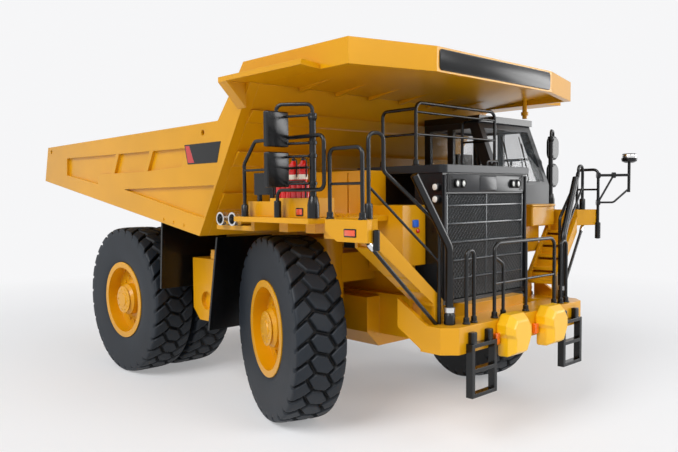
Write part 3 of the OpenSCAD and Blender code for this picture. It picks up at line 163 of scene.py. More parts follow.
PAINTS = {
    "yellow_paint": ((0.87, 0.615, 0.01), 0.33, dict(coat=0.15, patch=0.06, edge_highlight=0.08, shine=0.35)),
    "pod_paint": ((0.96, 0.73, 0.02), 0.34, dict(coat=0.3, edge_mm=0.5, patch=0.05, edge_highlight=0.12)),
    "dark_paint": ((0.095, 0.105, 0.125), 0.34, dict(edge_highlight=0.10, shine=0.35)),
    "black_plastic": ((0.035, 0.04, 0.048), 0.26, dict(edge_mm=0.2, edge_highlight=0.08, shine=0.4)),
    "red_plastic": ((0.80, 0.03, 0.04), 0.24, dict(coat=0.6, edge_mm=0.2, edge_highlight=0.15)),
    "lamp_white": ((0.95, 0.95, 0.93), 0.12, dict(coat=0.6, edge_highlight=0.0)),
}
LOOKS = {slot: paint(slot, colour, rough, **rest) for slot, (colour, rough, rest) in PAINTS.items()}
print("paints", len(LOOKS))

# %% Rubber, plated metal and glass
DUST_WAVES, DUSTLESS = 120.0, 0.88
PEBBLE_WAVES, PEBBLE_DEPTH = 900.0, 0.02
SCRATCH_WAVES, SMEAR_WAVES = 500.0, 60.0
NOISE_BAND = (0.3, 0.7)


def rubber(name, top, low):
    """Moulded rubber with a dusty grain and painted shade in the grooves: its attribute groove darkens it from 0
    on a block to 1 in a groove.
    """
    made, tree, surface = surface_tree(name, 0.5, shine=0.3)
    groove = node(tree, "Attribute", attribute_name="groove").outputs["Fac"]
    dust = ranged(tree, noise_on(tree, DUST_WAVES, 4.0), *NOISE_BAND, 0.0, 1.0)
    face = mixed(tree, dust, linear(*(DUSTLESS * c for c in top)), linear(*top))
    pebble = {"Distance": PEBBLE_DEPTH * MM, "Height": noise_on(tree, PEBBLE_WAVES)}
    feed(tree, surface, {
        "Base Color": mixed(tree, groove, face, linear(*low)),
        "Normal": node(tree, "Bump", pebble).outputs["Normal"],
    })
    return made


def bright(name, srgb, roughness):
    """Plated metal: a mirror with fine scratches in its roughness."""
    made, tree, surface = surface_tree(name, roughness, metallic=1.0)
    rough = ranged(tree, noise_on(tree, SCRATCH_WAVES, 4.0), *NOISE_BAND, 0.6 * roughness, 1.5 * roughness)
    feed(tree, surface, {"Base Color": linear(*srgb), "Roughness": rough})
    return made


def glass(name, srgb, alpha):
    """Thin clear pane: a smooth tinted surface that lets most light straight through, with faint smears."""
    made, tree, surface = surface_tree(name, 0.05)
    smears = ranged(tree, noise_on(tree, SMEAR_WAVES, 3.0), *NOISE_BAND, 0.8 * alpha, 1.3 * alpha)
    feed(tree, surface, {"Base Color": linear(*srgb), "Alpha": smears})
    return made


# The second colour is painted shade: near black, for the grooves.
LOOKS["tyre_rubber"] = rubber("tyre_rubber", (0.115, 0.14, 0.17), (0.010, 0.012, 0.014))
LOOKS["bright_metal"] = bright("bright_metal", (0.86, 0.86, 0.86), 0.22)
LOOKS["clear_glass"] = glass("clear_glass", (0.35, 0.38, 0.40), 0.14)
for name, solid in frame["nodes"].items():
    solid.data.materials.clear()
    solid.data.materials.append(LOOKS[SLOTS[name]])
print("materials", len(LOOKS))

# %% [markdown]
# ## Surfaces from grids
#
# A grid of points has rows and columns, and each quad joins four neighbours. A tube is a ring carried
# along a route, a turned piece is a ring that changes its radius, and a plate is an outline that rises
# and draws in at its edge: all three are grids with a lid at each end. Modelling tools could make
# them one by one. Arrays make them alike, at exact places, and each shape stays a few lines.

# %% Grids and lids
PRISM = np.array([[0, 1, 5, 4], [1, 2, 6, 5], [2, 3, 7, 6], [3, 0, 4, 7], [3, 2, 1, 0], [4, 5, 6, 7]])


def grid_quads(rows, columns, close_rows=False):
    """Quads of a grid with closed columns: corner (i, j) is point i * columns + j."""
    i = np.arange(rows if close_rows else rows - 1)[:, None]
    j = np.arange(columns)[None, :]
    up, right = (i + 1) % rows, (j + 1) % columns
    corners = [i * columns + j, i * columns + right, up * columns + right, up * columns + j]
    return np.stack(np.broadcast_arrays(*corners), -1).reshape(-1, 4)


def outward(points, quads):
    """The quads turned so that the sum of centre-to-face times face normal is positive."""
    a, b, c, d = (points[quads[:, k]] for k in range(4))
    normal = np.cross(c - a, d - b)
    middle = (a + b + c + d) / 4 - points.mean(0)
    return quads if (middle * normal).sum() > 0 else quads[:, ::-1]


def lidded(rings):
    """Shape from rings of points, row after row: quads between the rows and one flat lid at each end."""
    rows, columns, _ = rings.shape
    points = rings.reshape(-1, 3)
    quads = grid_quads(rows, columns)
    turned = outward(points, quads)
    first, last = np.arange(columns), (rows - 1) * columns + np.arange(columns)
    lids = [first[::-1], last] if turned is quads else [first, last[::-1]]
    return points, turned.tolist() + [lid.tolist() for lid in lids]


def prisms(corners):
    """Many prisms in one shape: each row of corners holds the four of one end, then the four of the other."""
    points = corners.reshape(-1, 3)
    faces = (8 * np.arange(len(points) // 8)[:, None, None] + PRISM).reshape(-1, 4)
    return points, outward(points, faces).tolist()


def piece(name, shapes, body, slot, look=None, replaces=(), sharp_deg=40.0):
    """One mesh from shapes in mm, riding on a CAD body. Edges sharper than the angle stay crisp."""
    starts = np.cumsum([0] + [len(points) for points, _ in shapes])
    faces = [[start + k for k in face] for start, (_, part) in zip(starts, shapes) for face in part]
    mesh = bpy.data.meshes.new(name)
    mesh.from_pydata(np.vstack([points for points, _ in shapes]) * MM, [], faces)
    mesh.polygons.foreach_set("use_smooth", np.ones(len(faces), bool))
    mesh.set_sharp_from_angle(angle=math.radians(sharp_deg))
    mesh.materials.append(look or LOOKS[slot])
    made = bpy.data.objects.new(name, mesh)
    bpy.context.scene.collection.objects.link(made)
    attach(made, body)
    if replaces:
        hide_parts(*replaces)
    return made


print("faces of a prism", len(PRISM))

# %% Tubes
LEG_SHARE = 0.48
ANY_WAY = np.array([0.31, 0.52, 0.8])


def bent(route, bend, steps=7):
    """A route whose inner corners are arcs of radius bend.

    Each arc starts bend times the tangent of half the turn before its corner, and takes less than half a leg.
    """
    route = np.asarray(route, float)
    if len(route) < 3:
        return route
    legs = np.diff(route, axis=0)
    length = np.linalg.norm(legs, axis=1, keepdims=True)
    legs = legs / length
    into, out = legs[:-1], legs[1:]
    turn = np.arccos(np.clip((into * out).sum(1, keepdims=True), -1, 1))
    bend = np.minimum(bend, LEG_SHARE * np.minimum(length[:-1], length[1:]) / np.tan(turn / 2))
    start = route[1:-1] - bend * np.tan(turn / 2) * into
    inward = (out - into) / np.linalg.norm(out - into, axis=1, keepdims=True)
    centre = route[1:-1] + inward * bend / np.cos(turn / 2)
    angle = np.linspace(0, 1, steps)[None, :, None] * turn[:, None]
    arcs = centre[:, None] + (start - centre)[:, None] * np.cos(angle) + (bend * into)[:, None] * np.sin(angle)
    return np.vstack([route[:1], arcs.reshape(-1, 3), route[-1:]])


def tube(route, diameter, bend=1.8, sides=14):
    """A ring carried along a flat bent route: it turns about the route's own plane, so it never twists."""
    line = bent(route, bend)
    run = np.diff(line, axis=0)
    run /= np.linalg.norm(run, axis=1, keepdims=True)
    tangent = np.vstack([run[:1], run[:-1] + run[1:], run[-1:]])
    tangent /= np.linalg.norm(tangent, axis=1, keepdims=True)
    crossed = np.cross(run[:1], run)
    flat = crossed[np.argmax(np.linalg.norm(crossed, axis=1))]
    if np.linalg.norm(flat) < 1e-6:
        flat = np.cross(run[0], ANY_WAY)
    flat = flat / np.linalg.norm(flat)
    side = np.cross(tangent, flat)
    angle = np.linspace(0, 2 * math.pi, sides, endpoint=False)[None, :, None]
    return lidded(line[:, None] + diameter / 2 * (np.cos(angle) * flat + np.sin(angle) * side[:, None]))


print("points on a bent corner", len(bent([X, 0 * X, Y], 0.2)) - 2)

# %% Turned pieces and plates


def lathe(profile, centre, axis=Z, sides=24, turn=0.0):
    """A profile of radius and height turned about an axis: ring k has radius r[k] at height h[k]."""
    radius, height = np.asarray(profile, float).T
    axis = np.asarray(axis, float) / np.linalg.norm(axis)
    side = np.cross(axis, X if abs(axis[0]) < 0.9 else Y)
    side /= np.linalg.norm(side)
    angle = (turn + np.linspace(0, 2 * math.pi, sides, endpoint=False))[None, :, None]
    ring = np.cos(angle) * side + np.sin(angle) * np.cross(axis, side)
    return lidded(np.asarray(centre) + radius[:, None, None] * ring + (height[:, None] * axis)[:, None])


def rounded(width, height, corner, steps=5):
    """Outline of a rectangle about zero, with a quarter arc at each corner."""
    quarter = np.arange(4)[:, None] * math.pi / 2
    angle = quarter + np.linspace(0, math.pi / 2, steps)[None]
    sign = np.sign(np.stack([np.cos(quarter + math.pi / 4), np.sin(quarter + math.pi / 4)], -1))
    middle = sign * [width / 2 - corner, height / 2 - corner]
    return (middle + corner * np.stack([np.cos(angle), np.sin(angle)], -1)).reshape(-1, 2)


def slab(outline, base, u, v, thickness, edge=0.12):
    """An outline in the plane of u and v, raised along their cross product and drawn in by edge at its top."""
    outline, base, u, v = (np.asarray(part, float) for part in (outline, base, u, v))
    low, high = outline.min(0), outline.max(0)
    drawn = (outline - (low + high) / 2) * (1 - 2 * edge / (high - low)) + (low + high) / 2
    rise = np.cross(u, v)
    rows = [(outline, 0.0), (outline, thickness - edge), (drawn, thickness)]
    return lidded(np.stack([base + flat[:, :1] * u + flat[:, 1:] * v + level * rise for flat, level in rows]))


def box(low, high, edge=0.15):
    """A block between two corners, its upper and lower rims drawn in by edge."""
    low, high = np.asarray(low, float), np.asarray(high, float)
    size = high - low
    outline, drawn = rounded(*size[:2], 2 * edge), rounded(*(size[:2] - 2 * edge), edge)
    rows = [(drawn, 0.0), (outline, edge), (outline, size[2] - edge), (drawn, size[2])]
    middle = np.array([*(low + high)[:2] / 2, low[2]])
    return lidded(np.stack([middle + np.c_[flat, np.full(len(flat), level)] for flat, level in rows]))


def bolt(place, axis, radius, height, sides=6):
    """A bolt's head: a short turned piece with few sides, its top drawn in."""
    profile = [(radius, 0), (radius, 0.75 * height), (0.8 * radius, height), (0.02, height)]
    return lathe(profile, place, axis, sides)


def mirrored(shape):
    """The same shape on the truck's other side, with its faces turned back."""
    points, faces = shape
    return points * [1, -1, 1], [face[::-1] for face in faces]


print("points round a plate", len(rounded(1, 1, 0.1)))

# %% [markdown]
# ## Tyres
#
# The real tread is moulded: one row of slanted six-sided blocks runs round the middle, and each block's
# corner sends a groove out over the shoulder. A tyre here is a section turned about its axle and pushed
# in along its own normal wherever a groove line is near. The lines are a handful of short segments that
# repeat once for each block, so the distance to the nearest one is an array sum and no tool is needed.

# %% Section and grooves
BLOCKS, TYRE_R = 30, 28.0
PITCH = 2 * math.pi * TYRE_R / BLOCKS
GROOVE_DEPTH, GROOVE_HALF, GROOVE_RAMP = 1.25, 0.34, 0.22
CORNER_A, CORNER_B, TIP, SHOULDER = (-1.8, -3.46), (1.8, -2.38), (4.1, 1.5), (10.0, -2.9)
TREAD_FOOT_R, TREAD_FADE, WALL_ROWS = 26.0, 0.9, 10
HALF_SECTION = np.array([
    [13.75, 6.1], [14.3, 6.75], [15.2, 7.05], [15.6, 7.2], [16.0, 7.12], [18, 7.3], [21, 7.42], [23.6, 7.45],
    [23.8, 7.5], [26.0, 7.5], [26.9, 7.45], [27.3, 7.3], [27.55, 7.05], [27.7, 6.6], [27.86, 5.6], [27.97, 4.0],
    [28, 0],
])


def section(fine):
    """Points of a tyre's section from bead to bead, their outward normals and their run from the middle."""
    line = np.vstack([HALF_SECTION, (HALF_SECTION * [1, -1])[-2::-1]])
    run = np.r_[0, np.cumsum(np.linalg.norm(np.diff(line, axis=0), axis=1))]
    tread = np.interp(TREAD_FOOT_R, HALF_SECTION[:, 0], run[: len(HALF_SECTION)])
    even = np.r_[
        np.linspace(0, tread, WALL_ROWS, endpoint=False),
        np.linspace(tread, run[-1] - tread, fine, endpoint=False),
        np.linspace(run[-1] - tread, run[-1], WALL_ROWS + 1),
    ]
    radius, across = (np.interp(even, run, line[:, k]) for k in (0, 1))
    slope = np.stack([np.gradient(radius, even), np.gradient(across, even)])
    slope /= np.linalg.norm(slope, axis=0)
    return radius, across, -slope[1], slope[0], run[-1] / 2 - even


def to_segment(a, c, start, end):
    """Distance of points (a, c) to a segment: the foot of the perpendicular, held between the ends."""
    (a0, c0), (a1, c1) = start, end
    share = ((a - a0) * (a1 - a0) + (c - c0) * (c1 - c0)) / ((a1 - a0) ** 2 + (c1 - c0) ** 2)
    share = np.clip(share, 0, 1)
    return np.hypot(a - a0 - share * (a1 - a0), c - c0 - share * (c1 - c0))


def groove_share(a, c):
    """How far a point lies in a groove, 0 to 1: a ramp on its distance to the nearest line of the pattern.

    a runs across the tread and c round it. Each line stands at its own place and one block to either side.
    """
    c = (c + PITCH / 2) % PITCH - PITCH / 2
    next_a, next_b = (CORNER_A[0], CORNER_A[1] + PITCH), (CORNER_B[0], CORNER_B[1] + PITCH)
    far_tip, far_shoulder = (-TIP[0], -TIP[1]), (-SHOULDER[0], -SHOULDER[1])
    lines = [
        (CORNER_A, CORNER_B), (CORNER_B, TIP), (next_b, TIP), (TIP, SHOULDER),
        (CORNER_A, far_tip), (next_a, far_tip), (far_tip, far_shoulder),
    ]
    nearest = np.min([
        to_segment(a, c + shift * PITCH, *line) for line in lines for shift in (-1, 0, 1)
    ], axis=0)
    return np.clip((GROOVE_HALF + GROOVE_RAMP - nearest) / GROOVE_RAMP, 0, 1)


print("pitch of the blocks in mm", round(PITCH, 3))

# %% Six tyres
TWIN_STEP = 17.2
FINE, COARSE = (24, 68), (14, 40)


def tyre(name, centre, axis, body, solid, steps, fine):
    """A tyre about an axle: each point is its section's point less the groove's depth along the normal."""
    radius, across, out_r, out_y, run = section(fine)
    angle = np.linspace(0, 2 * math.pi, BLOCKS * steps, endpoint=False)[:, None]
    share = groove_share(*np.broadcast_arrays(run[None], -TYRE_R * angle))
    share = share * np.clip((radius - TREAD_FOOT_R) / TREAD_FADE, 0, 1)[None]
    r = radius - GROOVE_DEPTH * share * out_r
    y = across - GROOVE_DEPTH * share * out_y
    axis = np.asarray(axis) / np.linalg.norm(axis)
    ahead = np.cross(axis, Z)
    round_it = np.cos(angle)[..., None] * ahead + np.sin(angle)[..., None] * Z
    points = (np.asarray(centre) / MM + y[..., None] * axis + r[..., None] * round_it).reshape(-1, 3)
    quads = outward(points, grid_quads(len(angle), len(radius), close_rows=True))
    made = piece(name, [(points, quads.tolist())], body, "tyre_rubber", replaces=[solid], sharp_deg=180)
    # The groove share, kept as an attribute, paints shade into the grooves.
    made.data.attributes.new("groove", "FLOAT", "POINT").data.foreach_set("value", share.ravel())
    return made


for side in ("left", "right"):
    spin = JOINTS[f"front_wheel_{side}_spin"]
    front_tyre = tyre(f"tread_front_{side}", spin["pos_m"], spin["axis"], f"front_wheel_{side}",
                      f"front_tyre_{side}", *FINE)
    spin = JOINTS[f"rear_wheels_{side}_spin"]
    inward = -math.copysign(TWIN_STEP * MM, spin["pos_m"][1])
    for twin, shift, steps in (("outer", 0.0, FINE), ("inner", inward, COARSE)):
        tyre(f"tread_rear_{side}_{twin}", np.add(spin["pos_m"], [0, shift, 0]), spin["axis"],
             f"rear_wheels_{side}", f"rear_tyres_{side}", *steps)
print("tyres 6, points in a front one", len(front_tyre.data.vertices))

# %% [markdown]
# ## Wheel fastenings
#
# Two rings of bolts hold a wheel: large ones on the disc and small ones on the hub's cap, with a
# valve by the rim. They are turned pieces with six sides, placed by angle about the axle, so one
# function serves all four wheels whichever way they are steered.

# %% Bolts and valves
DISC_FACE, HUB_FACE = 2.4, 6.8
BOLT_RINGS = [(8.9, 16, 0.55, DISC_FACE), (4.0, 10, 0.34, HUB_FACE)]
HUB_CAP = [(5.2, 0), (5.2, 0.25), (4.9, 0.35), (2.6, 0.35), (2.4, 0.7), (0.02, 0.75)]
FLANGE = [(7.6, 0), (7.6, 0.5), (7.3, 0.7), (6.02, 0.7)]
VALVE_R, VALVE_LONG, VALVE = 11.4, 2.2, 0.6


def wheel_bolts(wheel, out):
    """Bolts at equal angles on each ring, and the cap, flange and valve, all turned about the wheel's axle."""
    spin = JOINTS[f"{wheel}_spin"]
    axis = out * np.asarray(spin["axis"]) / np.linalg.norm(spin["axis"])
    ahead, centre = np.cross(axis, Z), np.asarray(spin["pos_m"]) / MM
    heads = [
        bolt(centre + face * axis + ring * (math.cos(t) * ahead + math.sin(t) * Z), axis, size, 0.5)
        for ring, count, size, face in BOLT_RINGS
        for t in np.linspace(0, 2 * math.pi, count, endpoint=False)
    ]
    hub = lathe(HUB_CAP, centre + (HUB_FACE - 0.1) * axis, axis, 40)
    flange = lathe(FLANGE, centre + (DISC_FACE - 0.05) * axis, axis, 48)
    stem = centre + DISC_FACE * axis + VALVE_R * ahead
    valve = tube([stem, stem + VALVE_LONG * axis], VALVE)
    return piece(f"{wheel}_bolts", heads + [hub, flange, valve], wheel, "yellow_paint")


for side, out in (("left", 1), ("right", -1)):
    wheel_bolts(f"front_wheel_{side}", out)
    wheel_bolts(f"rear_wheels_{side}", out)
print("bolts on each wheel", sum(count for _, count, _, _ in BOLT_RINGS))

# %% [markdown]
# ## Handrails
#
# A real rail is one tube bent cold, so its corners are arcs and not joints. The CAD rails meet in plain
# corners. A curve object with a bevel could round them, but its ring can twist where the route turns.
# Here each route is rounded and a ring is carried along it, with a flange or a sleeve at every foot.

# %% Rail parts
RAIL, POST, MID, ARM = 1.02, 0.95, 0.7, 2.1
DECK, BUMPER, HOOD = 62.2, 34.0, 76.2
FOOT = [(1.05, 0), (1.05, 0.3), (0.85, 0.45), (0.8, 1.6), (0.62, 1.75)]


def beside(y, *route):
    """A route of points (x, z) in the upright plane along the truck at y."""
    return [(x, y, z) for x, z in route]


def facing(x, *route):
    """A route of points (y, z) in the upright plane across the truck at x."""
    return [(x, y, z) for y, z in route]


def foot(place):
    """A flange under a post, and the short socket that holds it."""
    return lathe(FOOT, place, Z, 16)


def sleeve(place, radius, wall, top, height, sides=16):
    """A ring up to the wall's height, then drawn in to the top radius."""
    return lathe([(radius, 0), (radius, wall), (top, height)], place, Z, sides)


def grip(place, radius, height):
    """A plain sleeve over a tube, both ends drawn in."""
    return lathe([(0.5, 0), (radius, 0.2), (radius, height - 0.2), (0.5, height)], place, Z, 16)


def hoop(start, end, height, mid=None, bend=1.8):
    """A tube up from one foot, along and down to the other, with a thinner bar at a share of its height."""
    start, end = np.asarray(start, float), np.asarray(end, float)
    made = [tube([start, start + height * Z, end + height * Z, end], RAIL, bend)]
    if mid:
        made.append(tube([start + mid * height * Z, end + mid * height * Z], MID))
    return made + [foot(start), foot(end)]


print("tube diameters in mm", RAIL, POST, MID, ARM)

# %% Stair rails
STAIR_FOOT, STAIR_TURN = np.array([95.5, 28.6, BUMPER]), math.radians(100)
LOOP_Y, ARM_Y = -0.7, -2.5
LOOP_FOOT, LOOP_X, LOOP_BACK = 28.2, 24.4, 19.9


def on_stair(route):
    """Points of the left stair's own frame turned about its foot into the truck's."""
    c, s = math.cos(STAIR_TURN), math.sin(STAIR_TURN)
    return STAIR_FOOT + np.asarray(route, float) @ np.array([[c, s, 0], [-s, c, 0], [0, 0, 1]])


def stair_rails(loop_top):
    """Loop, lower bar, thick arm and brace of one stair, and the sleeves of the loop and the arm."""
    loop = beside(LOOP_Y, (LOOP_X, LOOP_FOOT), (LOOP_X, loop_top), (LOOP_BACK, loop_top), (LOOP_BACK, 39.8),
                  (2, 26), (2, 0))
    return [
        tube(on_stair(loop), RAIL),
        tube(on_stair(beside(LOOP_Y, (LOOP_X, 36.1), (2, 16.4))), MID),
        tube(on_stair(beside(ARM_Y, (0, 0), (0, 20.2), (11.7, 38.9))), ARM, 4.0, 20),
        tube(on_stair(beside(LOOP_Y, (3, 0), (25.6, 23.2))), RAIL),
        sleeve(on_stair([(LOOP_X, LOOP_Y, LOOP_FOOT)])[0], 1.0, 3.4, 0.8, 3.8),
        sleeve(on_stair([(0, ARM_Y, 0)])[0], 1.5, 2.6, 1.25, 3.0, 20),
    ]


ferrules = [
    lathe([(1.1, 0), (1.45, 0.2), (1.45, 1.5), (1.1, 1.7)], on_stair([(0, ARM_Y, 3.0)])[0], Z, 20),
    tube(on_stair(beside(LOOP_Y, (23.2, 20.7), (24.6, 22.2))), 1.4),
]
print("ferrules", 2 * len(ferrules))

# %% Deck rails
OUTER_Y, LANDING_Y = 59.0, 57.7
REAR_X, MIDDLE_X, MIRROR_X, LOOP_END = 49.6, 64.4, 77.0, 82.9
RAIL_TOP, HIGH_BAR, LOW_BAR = 82.8, 75.0, 69.4
right_loop = [
    (REAR_X, DECK), (REAR_X, 76.8), (54.8, RAIL_TOP), (LOOP_END, RAIL_TOP), (LOOP_END, LOW_BAR),
    (MIRROR_X, LOW_BAR),
]
rails_right = [
    tube(beside(-OUTER_Y, *right_loop), RAIL),
    tube(beside(-OUTER_Y, (REAR_X, HIGH_BAR), (MIRROR_X, HIGH_BAR)), MID),
    tube(beside(-OUTER_Y, (MIDDLE_X, DECK), (MIDDLE_X, LOW_BAR), (MIRROR_X + 0.6, LOW_BAR)), POST),
    sleeve((REAR_X, -OUTER_Y, DECK), 1.0, 3.0, 0.7, 3.4),
    sleeve((MIDDLE_X, -OUTER_Y, DECK), 0.98, 4.2, 0.7, 4.5),
    grip((97.75, -56.2, 54.9), 0.85, 5.0),
    *hoop((83.5, -LANDING_Y, DECK), (94.8, -LANDING_Y, DECK), 17.1, 0.5),
    *map(mirrored, stair_rails(49.0)),
]
LEFT_TALL, LEFT_POST, LANDING_X, LANDING_TOP = 18.5, 59.2, 87.3, 76.0
GRAB_X, GRAB_FOOT, LANDING_BAR = 95.2, 52.0, 69.1
left_hoop = [(LANDING_X, DECK), (LANDING_X, LANDING_TOP), (GRAB_X, LANDING_TOP), (GRAB_X, GRAB_FOOT)]
rails_left = [
    *hoop((46.4, OUTER_Y, DECK), (72, OUTER_Y, DECK), LEFT_TALL, 0.5),
    tube(beside(OUTER_Y, (LEFT_POST, DECK), (LEFT_POST, DECK + LEFT_TALL)), POST),
    foot((LEFT_POST, OUTER_Y, DECK)),
    tube(beside(LANDING_Y, *left_hoop), RAIL),
    tube(beside(LANDING_Y, (LANDING_X, LANDING_BAR), (GRAB_X, LANDING_BAR)), MID),
    foot((LANDING_X, LANDING_Y, DECK)),
    grip((GRAB_X, LANDING_Y, GRAB_FOOT), 0.95, 5.8),
    *stair_rails(43.2),
]
print("deck rail parts", len(rails_right) + len(rails_left))

# %% Bumper and hood rails
BUMPER_X, BUMPER_TALL, BUMPER_END, BUMPER_POST, BRACE_Y = 100.9, 20.5, -13.0, 2.75, -8.8
rails_front = [
    *hoop((BUMPER_X, BUMPER_END, BUMPER), (BUMPER_X, 18.5, BUMPER), BUMPER_TALL, 0.46, 2.6),
    tube(facing(BUMPER_X, (BUMPER_POST, BUMPER), (BUMPER_POST, BUMPER + BUMPER_TALL)), POST),
    foot((BUMPER_X, BUMPER_POST, BUMPER)),
    tube(facing(BUMPER_X, (BUMPER_END, 50.8), (BRACE_Y, 48.6), (BRACE_Y, BUMPER)), POST, 2.0),
    foot((BUMPER_X, BRACE_Y, BUMPER)),
]
for s in (1, -1):
    rails_front += hoop((BUMPER_X, s * 22.4, BUMPER), (BUMPER_X, s * 25.7, BUMPER), 19.2, None, 1.4)
HOOD_Y, HOOD_FRONT, HOOD_REAR = 19.6, 78.5, 65.5
HOOD_TALL, HOOD_BAR, SIDE_TOP, SIDE_BAR = 18.2, 91.7, 92.6, 85.3
rails_hood = [
    *hoop((HOOD_FRONT, -HOOD_Y, HOOD), (HOOD_FRONT, HOOD_Y, HOOD), HOOD_TALL, 0.5, 2.4),
    tube(facing(HOOD_FRONT, (-HOOD_Y, HOOD_BAR), (HOOD_Y, HOOD_BAR)), MID),
]
for y in (-HOOD_Y, HOOD_Y):
    rails_hood += [
        tube(beside(y, (HOOD_REAR, HOOD), (HOOD_REAR, SIDE_TOP), (HOOD_FRONT, SIDE_TOP)), RAIL),
        tube(beside(y, (HOOD_REAR, SIDE_BAR), (HOOD_FRONT, SIDE_BAR)), MID),
        foot((HOOD_REAR, y, HOOD)),
    ]
RAILS = {"right": rails_right, "left": rails_left, "front": rails_front, "hood": rails_hood}
for where, shapes in RAILS.items():
    piece(f"bent_rails_{where}", shapes, "chassis", "black_plastic", replaces=[f"rails_{where}"])
piece("rail_ferrules", [*ferrules, *map(mirrored, ferrules)], "chassis", "bright_metal")
print("rail parts", sum(map(len, RAILS.values())))

# %% [markdown]
# ## Mirrors and beacon
#
# Two mirror heads hang one above the other on thin arms from a stout post in a cast foot. Their glass
# faces the rear. The beacon stands on a braced arm at the left landing: a black cup with a bright lens.
# All of it is tubes and plates, so the functions above serve, and the right side is the left mirrored.

# %% Mirrors
MIRROR_POST, POST_TOP, KNOB_AT = np.array([MIRROR_X, 57.45, 0]), 88.4, 87.4
CAST_FOOT = [(1.55, 0), (1.55, 3.4), (1.1, 5.4), (0.95, 5.6)]
KNOB = [(0.3, -1.15), (0.85, -0.8), (1.2, 0), (0.85, 0.8), (0.3, 1.15)]
CLAMP = [(1.1, -0.4), (1.1, 0.4), (0.9, 0.5)]
HEAD_INNER, HEAD_WIDE, HEAD_TALL, HEAD_THICK = 59.8, 7.0, 8.9, 1.4
HEAD_FEET, HEAD_ARMS, TOP_ARM, TOP_DROP = (80.3, 70.1), (0.9, 7.8), 90.9, 84.75


def mirror_pair(head_x, corner, edge):
    """Post, arms and two heads of the left side's mirrors, and the panes on the heads' rear faces."""
    post, head = MIRROR_POST, np.array([head_x, HEAD_INNER + HEAD_WIDE / 2, 0])
    black = [
        tube([post + DECK * Z, post + POST_TOP * Z], 1.7),
        lathe(CAST_FOOT, post + DECK * Z, Z, 20),
        lathe(KNOB, post + KNOB_AT * Z, Z, 20),
        tube([post + TOP_DROP * Z, post + TOP_ARM * Z, head + TOP_ARM * Z, head + TOP_DROP * Z], POST, 1.6),
    ]
    panes = []
    for low in HEAD_FEET:
        for z in (low + rise for rise in HEAD_ARMS):
            black.append(tube([post + z * Z, [head_x, HEAD_INNER + 0.5, z]], MID))
            black.append(lathe(CLAMP, post + z * Z, Z, 16))
        middle = head + [-HEAD_THICK / 2, 0, low + HEAD_TALL / 2]
        black.append(slab(rounded(HEAD_WIDE, HEAD_TALL, corner), middle, Y, Z, HEAD_THICK, edge))
        pane = rounded(HEAD_WIDE - 1.0, HEAD_TALL - 1.0, 0.8 * corner)
        panes.append(slab(pane, middle + 0.02 * X, -Y, Z, 0.06, 0.02))
    return black, panes


for side, head_x, corner, edge in (("right", 69.8, 0.45, 0.2), ("left", 74.6, 2.6, 0.7)):
    black, panes = mirror_pair(head_x, corner, edge)
    if side == "right":
        black, panes = list(map(mirrored, black)), list(map(mirrored, panes))
    piece(f"mirror_heads_{side}", black, "chassis", "black_plastic", replaces=[f"mirrors_{side}"])
    piece(f"mirror_panes_{side}", panes, "chassis", "bright_metal")
print("mirror heads", 2 * len(HEAD_FEET))

# %% Beacon
start, tip = np.array([GRAB_X, LANDING_Y, 0]), np.array([103.1, 64.2, 0])
knee = (start + tip) / 2
HIGH_ARM, LOW_ARM = 74.0, 64.6
COLLAR = [(1.0, -0.6), (1.0, 0.6), (0.8, 0.7)]
CUP, LID = [(1.4, 0), (2.4, 0.5), (2.58, 1.2), (2.58, 1.6)], [(2.3, 0), (2.3, 0.2), (2.0, 0.3)]
LENS_RING = [(2.3, 0), (2.4, 0.3), (2.4, 1.2), (2.2, 1.5)]
arms = [
    tube([start + HIGH_ARM * Z, tip + HIGH_ARM * Z], POST),
    tube([start + LOW_ARM * Z, knee + LOW_ARM * Z, tip + 69.3 * Z], MID),
    tube([start + LOW_ARM * Z, knee + HIGH_ARM * Z], MID),
    tube([tip + 68.1 * Z, tip + 79.4 * Z], RAIL),
    *(lathe(COLLAR, place, tip - start, 14)
      for place in (start + HIGH_ARM * Z, start + LOW_ARM * Z, knee + HIGH_ARM * Z)),
    lathe(CUP, tip + 78.2 * Z, Z, 28),
    lathe(LID, tip + 81.05 * Z, Z, 28),
]
piece("beacon_stand", arms, "chassis", "black_plastic", replaces=["beacon_arm"])
piece("beacon_lens", [lathe(LENS_RING, tip + 79.6 * Z, Z, 28)], "chassis", "bright_metal")
print("beacon at mm", tip)

# %% [markdown]
# ## Grille
#
# Behind the front rail stands a screen of fine crossed wire in a frame, with seams across it. Each
# wire is a straight prism. Its ends come from cutting the line y - z = k with the screen's rectangle,
# and the second family is the first one mirrored, so both are two lines of array code.

# %% Wire screen
WIRE_PITCH, WIRE = 1.45, 0.28
SEAMS, SEAM_HALF, RIM_Y, RIM_HALF = (64.8, 59.7, 54.4, 49.2, 44.0), 0.28, 19.0, 0.4
PIPE_XS, PIPE_END, PIPE_AT = (39.5, 33.3), -54.02, 61.2
# Painted glint: the wires, seams and rim are black mouldings painted mid-grey, so that they read as lit lines.
WIRE_PAINTED_GLINT = paint("wire_painted_glint", (0.17, 0.19, 0.21), 0.22, coat=0.2, edge_mm=0.1, edge_highlight=0.1)
# Painted shade: a near-black for the depth behind the wires, inside the pipe ends and in the band's pockets and
# holes.
PAINTED_SHADE_BLACK = paint("painted_shade_black", (0.012, 0.013, 0.015), 0.7, edge_highlight=0.0)


